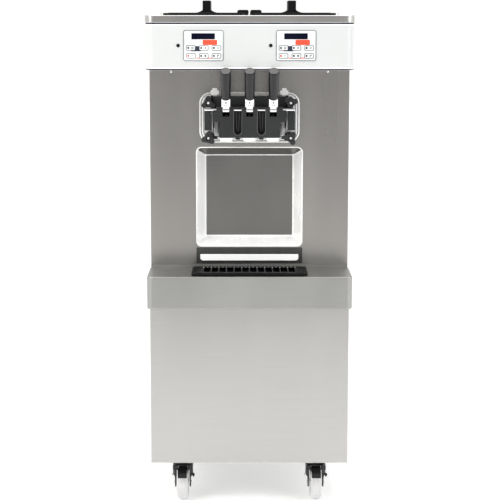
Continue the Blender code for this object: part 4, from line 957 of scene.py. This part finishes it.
def chamfered(low, high, cut):
    """A rectangle with cut corners, more at its low edge than at its high one."""
    nick = cut * 0.4
    return [(low[0] + cut, low[1]), (high[0] - cut, low[1]), (high[0], low[1] + cut),
            (high[0], high[1] - nick), (high[0] - nick, high[1]), (low[0] + nick, high[1]),
            (low[0], high[1] - nick), (low[0], low[1] + cut)]


def drip_tray():
    """Tray with chamfered corners, a wide rim with a seat for the grid, and a deep pan."""
    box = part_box("drip_tray")
    low, high = box
    rim_low = SHELF_TOP + 0.0004
    edge = chamfered((low.x, low.y), (high.x, high.y), 0.013)
    mouth = inside(box, "top", (0.009, 0.008), 0.003, 3)
    tray = Shape().plate([edge, mouth], "top", (rim_low + high.z) / 2, high.z - rim_low, 0.0016, 3)
    inset, wall = 0.011, SHEET
    rings = []
    for grow, z in ((0, rim_low + 0.003), (0, low.z + 0.002), (0.002, low.z), (0.004, low.z + wall),
                    (wall, low.z + wall + 0.002), (wall, rim_low + 0.0031)):
        across = inset + grow
        rings.append(flat_ring(inside(box, "top", (across, across - 0.002), 0.004, 3), "top", z))
    tray.loft(rings[:3], cap_last=True)
    tray.loft(rings[3:], cap_first=True)
    seat = inside(box, "top", (inset + wall, inset), 0.003, 3)
    tray.plate([mouth, seat], "top", high.z - 0.0036, 0.0014, 0.0002)
    tray.done("drip_tray_pan", "tray_black", "drip_tray", "drip_tray")


def drip_grid():
    """Drop-in cover with twelve drains, short light-grey ribs behind and between them as painted highlights
    on the drains' far edges, and a low ridge round them.
    """
    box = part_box("drip_grid")
    low, high = box
    count, pitch, half = 12, 0.0232, 0.0095
    front, back, top = low.y + 0.0315, high.y - 0.0135, high.z
    centres = [pitch * (i - (count - 1) / 2) for i in range(count)]
    holes = [rounded((x - half, front), (x + half, back), 0.0028, 4) for x in centres]
    edge = inside(box, "top", 0, 0.003, 3)
    grid = Shape().plate([edge, *holes], "top", (low.z + top) / 2, top - low.z, 0.0005, 2)
    grid.done("drip_grid_cover", "tray_black", "drip_grid", "drip_grid")
    ribs = [(pitch * (i - count / 2), 0.0013, -0.01, 0.003) for i in range(count + 1)]
    ribs += [(x, 0.0022, 0.0008, 0.004) for x in centres]
    ticks = Shape()
    for x, wide, near, far in ribs:
        ticks.box((x - wide, back + near, top - 0.0002), (x + wide, back + far, top + 0.0009), 0.0004)
    ticks.done("drip_grid_highlight_ribs", "highlight_rib_grey", "drip_grid", slot="tray_black")
    outer = rounded((low.x + 0.006, low.y + 0.004), (high.x - 0.006, high.y - 0.003), 0.012, 6)
    inner = rounded((low.x + 0.0074, low.y + 0.0054), (high.x - 0.0074, high.y - 0.0044), 0.011, 6)
    ridge = Shape().plate([outer, inner], "top", top + 0.0002, 0.0012, 0.0003)
    ridge.done("drip_grid_ridge", "tray_black", "drip_grid")


def leak_drawer():
    """White drawer whose front has rounded lower corners, and a dark sheet round its slot that is painted
    shade.
    """
    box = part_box("leak_drawer")
    low, high = box
    back = UPPER - 0.0003
    face = inside(box, "front", 0, (0.0085, 0.0085, 0.0015, 0.0015))
    drawer = Shape().plate([face], "front", (low.y + back) / 2, back - low.y, 0.0014, 3)
    half = SLOT_HALF - 0.001
    bottom, top = SLOT_LOW + 0.0008, SLOT_HIGH - 0.001
    wall = 0.0018
    drawer.box((-half, back - 0.001, bottom), (half, high.y, bottom + wall), 0.0003)
    for side in SIDES.values():
        drawer.box((side * half, back - 0.001, bottom), (side * (half - wall), high.y, top), 0.0003)
    drawer.box((-half, high.y - wall, bottom), (half, high.y, top), 0.0003)
    drawer.done("leak_drawer_body", "food_white", "leak_drawer", "leak_drawer")
    # A very dark sheet on the splash panel round the slot: painted shadow.
    edge = rounded((-0.1625, low.z - 0.0085), (0.1625, RECESS_LOW - 0.003), 0.003, 4)
    slot = inside(SLOT_BOX, "front", 0, 0.002, 3)
    shade_sheet = Shape().plate([edge, slot], "front", UPPER - 0.0002, 0.0004, 0.0001)
    shade_sheet.done("drawer_shade_sheet", "shadow_steel", slot="brushed_steel")


# ---------------------------------------------------------------- casters


def casters():
    for row in ("front", "rear"):
        for name in SIDES:
            key = row + "_" + name
            swivel = pivot(key + "_caster_swivel")
            axle = pivot(key + "_wheel_roll")
            caster_fork(key, swivel, axle)
            caster_wheel(key, axle)


def caster_fork(key, swivel, axle):
    """Swivel head, a crown over the wheel, and two legs with cheeks and shoulders beside it."""
    low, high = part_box(key + "_caster_fork")
    x = swivel.x
    body = key + "_caster"
    crown_low, crown_high = 0.1085, high.z - 0.0035
    head, leg_top = high.z - crown_low, crown_low + 0.004
    inner, outer = 0.0206, 0.025
    fork = Shape().lathe([(0, head), (0.0265, head), (0.027, head - 0.003), (0.0285, 0.004),
                          (0.027, 0.001), (0, 0.001)], (x, swivel.y, crown_low))
    crown = rounded((low.x, axle.y + 0.004), (high.x, swivel.y + 0.031), 0.014, 6)
    fork.plate([crown], "top", (crown_low + crown_high) / 2, crown_high - crown_low, 0.003, 3)
    leg = [(axle.y - 0.013, axle.z + 0.004), *arc((axle.y, axle.z), 0.0125, 197, 343, 8),
           (axle.y + 0.016, axle.z + 0.008), (swivel.y + 0.018, leg_top), (axle.y - 0.022, leg_top),
           (axle.y - 0.026, 0.084)]
    shoulder = [(0, 0), (0.024, 0), (0.0236, 0.0022), (0.0125, 0.0098), (0.01, 0.0105), (0, 0.0105)]
    for side in SIDES.values():
        start, edge = x + side * inner, high.x if side > 0 else low.x
        fork.plate([leg], "side", x + side * (inner + outer) / 2, outer - inner, 0.0009, 2)
        fork.box((start, axle.y - 0.022, 0.096), (edge, swivel.y + 0.016, leg_top), 0.002, 3)
        fork.box((x + side * 0.0148, axle.y - 0.0235, 0.0975),
                 (start + side * 0.001, axle.y - 0.0205, 0.114), 0.0008)
        fork.lathe(shoulder, (start, axle.y + 0.004, 0.088), (side, 0, 0))
    fork.box((x - 0.0215, axle.y - 0.0235, 0.1098), (x + 0.0215, axle.y + 0.008, 0.1145), 0.0008)
    fork.done(key + "_fork_shell", "caster_black", body, key + "_caster_fork")
    bright, dark = Shape(), Shape()
    for side in SIDES.values():
        bright.nut((x + side * outer, axle.y, axle.z), (side, 0, 0), 0.0072, 0.0042)
        # The stop nut is bright steel on the left and black on the right: painted light and shade from the
        # key light on the left.
        stop = bright if side < 0 else dark
        stop.nut((x + side * 0.03, axle.y - 0.004, 0.077), (side, 0, 0), 0.0062, 0.0052)
    bright.done(key + "_fork_nuts", "polished_steel", body, slot="caster_black")
    dark.done(key + "_fork_shaded_stop", "pedal_black", body, slot="caster_black")


def caster_plates():
    """Mounting plates under the cabinet, each with four bolts."""
    plates, bolts = Shape(), Shape()
    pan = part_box("base_pan")[0]
    for row in ("front", "rear"):
        for name in SIDES:
            swivel = pivot(row + "_" + name + "_caster_swivel")
            outline = about(swivel.x, swivel.y, 0.033, 0.04, 0.004, 4)
            plates.plate([outline], "top", pan.z + 0.0028, 0.0056, 0.0006)
            for dx in (-0.027, 0.027):
                for dy in (-0.034, 0.034):
                    bolts.nut((swivel.x + dx, swivel.y + dy, pan.z), (0, 0, -1), 0.0044, 0.0075)
    plates.done("caster_plates", "caster_black")
    bolts.done("caster_bolts", "polished_steel")


def caster_wheel(key, axle):
    """Moulded wheel with a crowned tread, shoulders, a dished web and a hub."""
    half, radius = 0.018, 0.05
    hub = [(0.0053, half), (0.014, half), (0.016, half - 0.0016), (0.0172, half - 0.0052)]
    web = [(0.02, half - 0.0062), (radius - 0.015, half - 0.0062), (radius - 0.0128, half - 0.004)]
    tread = [(0.011, 0.001), (0.008, 0.001), (0.004, 0.0026), (0.0014, 0.0062), (0.0002, 0.011),
             (0, 0.015)]
    face = hub + web + [(radius - inset, half - drop) for inset, drop in tread]
    profile = face + [(across, -height) for across, height in reversed(face)] + [face[0]]
    wheel = Shape().lathe(profile, axle, (1, 0, 0), 72)
    wheel.done(key + "_wheel_tyre", "wheel_grey", key + "_wheel", key + "_caster_wheel", angle=45)
    ribs = Shape()
    for i in range(6):
        turn = Matrix.Translation(axle) @ Matrix.Rotation(math.radians(60 * i), 4, "X")
        for side in SIDES.values():
            near, far = side * (half - 0.0064), side * (half - 0.003)
            ribs.box((near, -0.0014, 0.015), (far, 0.0014, 0.036), 0.0006, matrix=turn)
    ribs.done(key + "_wheel_ribs", "wheel_grey", key + "_wheel")


# ---------------------------------------------------------------- CAD nodes that keep their shape


def soften(node, width, segments=2):
    """Welds a CAD node's split corners, and rounds its sharp edges a little."""
    weld = node.modifiers.new("weld", "WELD")
    weld.merge_threshold = 0.00001
    bevel = node.modifiers.new("edges", "BEVEL")
    bevel.width = width
    bevel.segments = segments
    bevel.limit_method = "ANGLE"
    bevel.angle_limit = math.radians(35)
    bevel.use_clamp_overlap = True
    bevel.harden_normals = True


# Edge widths of the nodes that show, and finishes that differ from the slot's
SOFTENED = {"door_body": 0.0007, "base_pan": 0.0005, "chassis_frame": 0.0006, "compressor": 0.0012,
            "condenser": 0.0004, "condenser_fan": 0.0005, "beater_drive": 0.001,
            **{side + "_brake_pedal": 0.0006 for side in SIDES},
            **{name + "_lever": 0.0006 for name in LEVERS}}
# The white draw valves take a darker grey copy of their plastic: painted shade in the slot below the collars.
EXTRA = {**{side + "_beater": "polished_steel" for side in SIDES},
         **{name + "_draw_valve": "shaded_valve_white" for name in LEVERS}}


def carried_nodes():
    """Gives every CAD node its slot's finish or its own, and soft edges to those that show."""
    for row in frame["record"]["subparts"]:
        name = row["node"]
        node = frame["nodes"][name]
        node.data.materials.clear()
        node.data.materials.append(FINISHES[EXTRA.get(name, row["material_slot"])])
        if name in SOFTENED and not node.hide_render:
            soften(node, SOFTENED[name])


# ---------------------------------------------------------------- stage, light and camera


def stage():
    """Wide pale floor that glows a little. It gets darker from 2.2 to 5 metres in front of the machine."""
    bpy.ops.mesh.primitive_plane_add(size=1.0, location=(0, 0, -0.0002))
    floor = bpy.context.object
    floor.name = "floor"
    wide = 44.0
    floor.scale = (wide, wide, 1)
    paint = Paint("pale_floor", (0.9, 0.9, 0.9), 0.7)
    split = paint.add("SeparateXYZ", {}, {0: paint.place})
    share = paint.remap(split.outputs["Y"], 0.0, 1.0, -5.0 / wide, -2.2 / wide)
    paint.drive("Emission Strength", paint.remap(share, 0.05, 0.26, 0.0, 1.0))
    paint.set("Emission Color", (1, 1, 1, 1))
    paint.blend(share, (0.44, 0.44, 0.44), paint.colour)
    floor.data.materials.append(paint.material)


def area_light(name, place, target, size, power, colour=(1, 1, 1)):
    data = bpy.data.lights.new(name, "AREA")
    data.shape = "RECTANGLE"
    data.size, data.size_y = size
    data.energy = power
    data.color = colour
    light = bpy.data.objects.new(name, data)
    light.location = place
    light.rotation_euler = (Vector(target) - Vector(place)).to_track_quat("-Z", "Y").to_euler()
    bpy.context.scene.collection.objects.link(light)


def world():
    """A white studio that is darker in front of the machine, where the camera is."""
    made = bpy.data.worlds.new("studio")
    bpy.context.scene.world = made
    made.use_nodes = True
    tree = made.node_tree
    place = add_node(tree, "TexCoord", {}, {})
    split = add_node(tree, "SeparateXYZ", {}, {0: place.outputs["Generated"]})
    values = {"From Min": -0.99, "From Max": -0.66, "To Min": 0.42, "To Max": 1.02}
    front = add_node(tree, "MapRange", values, {"Value": split.outputs["Y"]}, interpolation_type="SMOOTHSTEP")
    back = tree.nodes["Background"]
    tree.links.new(front.outputs["Result"], back.inputs["Strength"])
    back.inputs["Color"].default_value = (1.0, 0.995, 0.985, 1)


def camera():
    data = bpy.data.cameras.new("camera")
    data.sensor_width = 36.0
    data.lens = 110.72
    data.shift_x = 0.0143
    data.clip_start, data.clip_end = 0.1, 60.0
    made = bpy.data.objects.new("camera", data)
    made.location = (-0.02, -4.9, 1.5)
    made.rotation_euler = (math.radians(90 - 8.722), 0, 0)
    bpy.context.scene.collection.objects.link(made)
    bpy.context.scene.camera = made


def lights():
    area_light("key_left", (-2.6, -2.6, 2.8), (0, 0, 0.9), (1.6, 2.4), 72, (1.0, 0.98, 0.95))
    area_light("fill_right", (2.8, -2.2, 2.2), (0, 0, 0.8), (1.4, 2.4), 40)
    area_light("top", (0, 0.2, 3.6), (0, 0, 0), (3.0, 3.0), 60)


bpy.context.scene.view_settings.view_transform = "Standard"
camera()
stage()
world()
lights()
for make in (splash_panel, recess_frame, lower_front, drip_shelf, header, top_deck, lid_pins, side_panels,
             rear_panel, keypads, mix_lamps, hopper_lids, hoppers, door_plate, door_details, nozzle_caps,
             knobs, prime_plugs, grips, lever_details, drip_tray, drip_grid, leak_drawer, casters,
             caster_plates, carried_nodes):
    make()
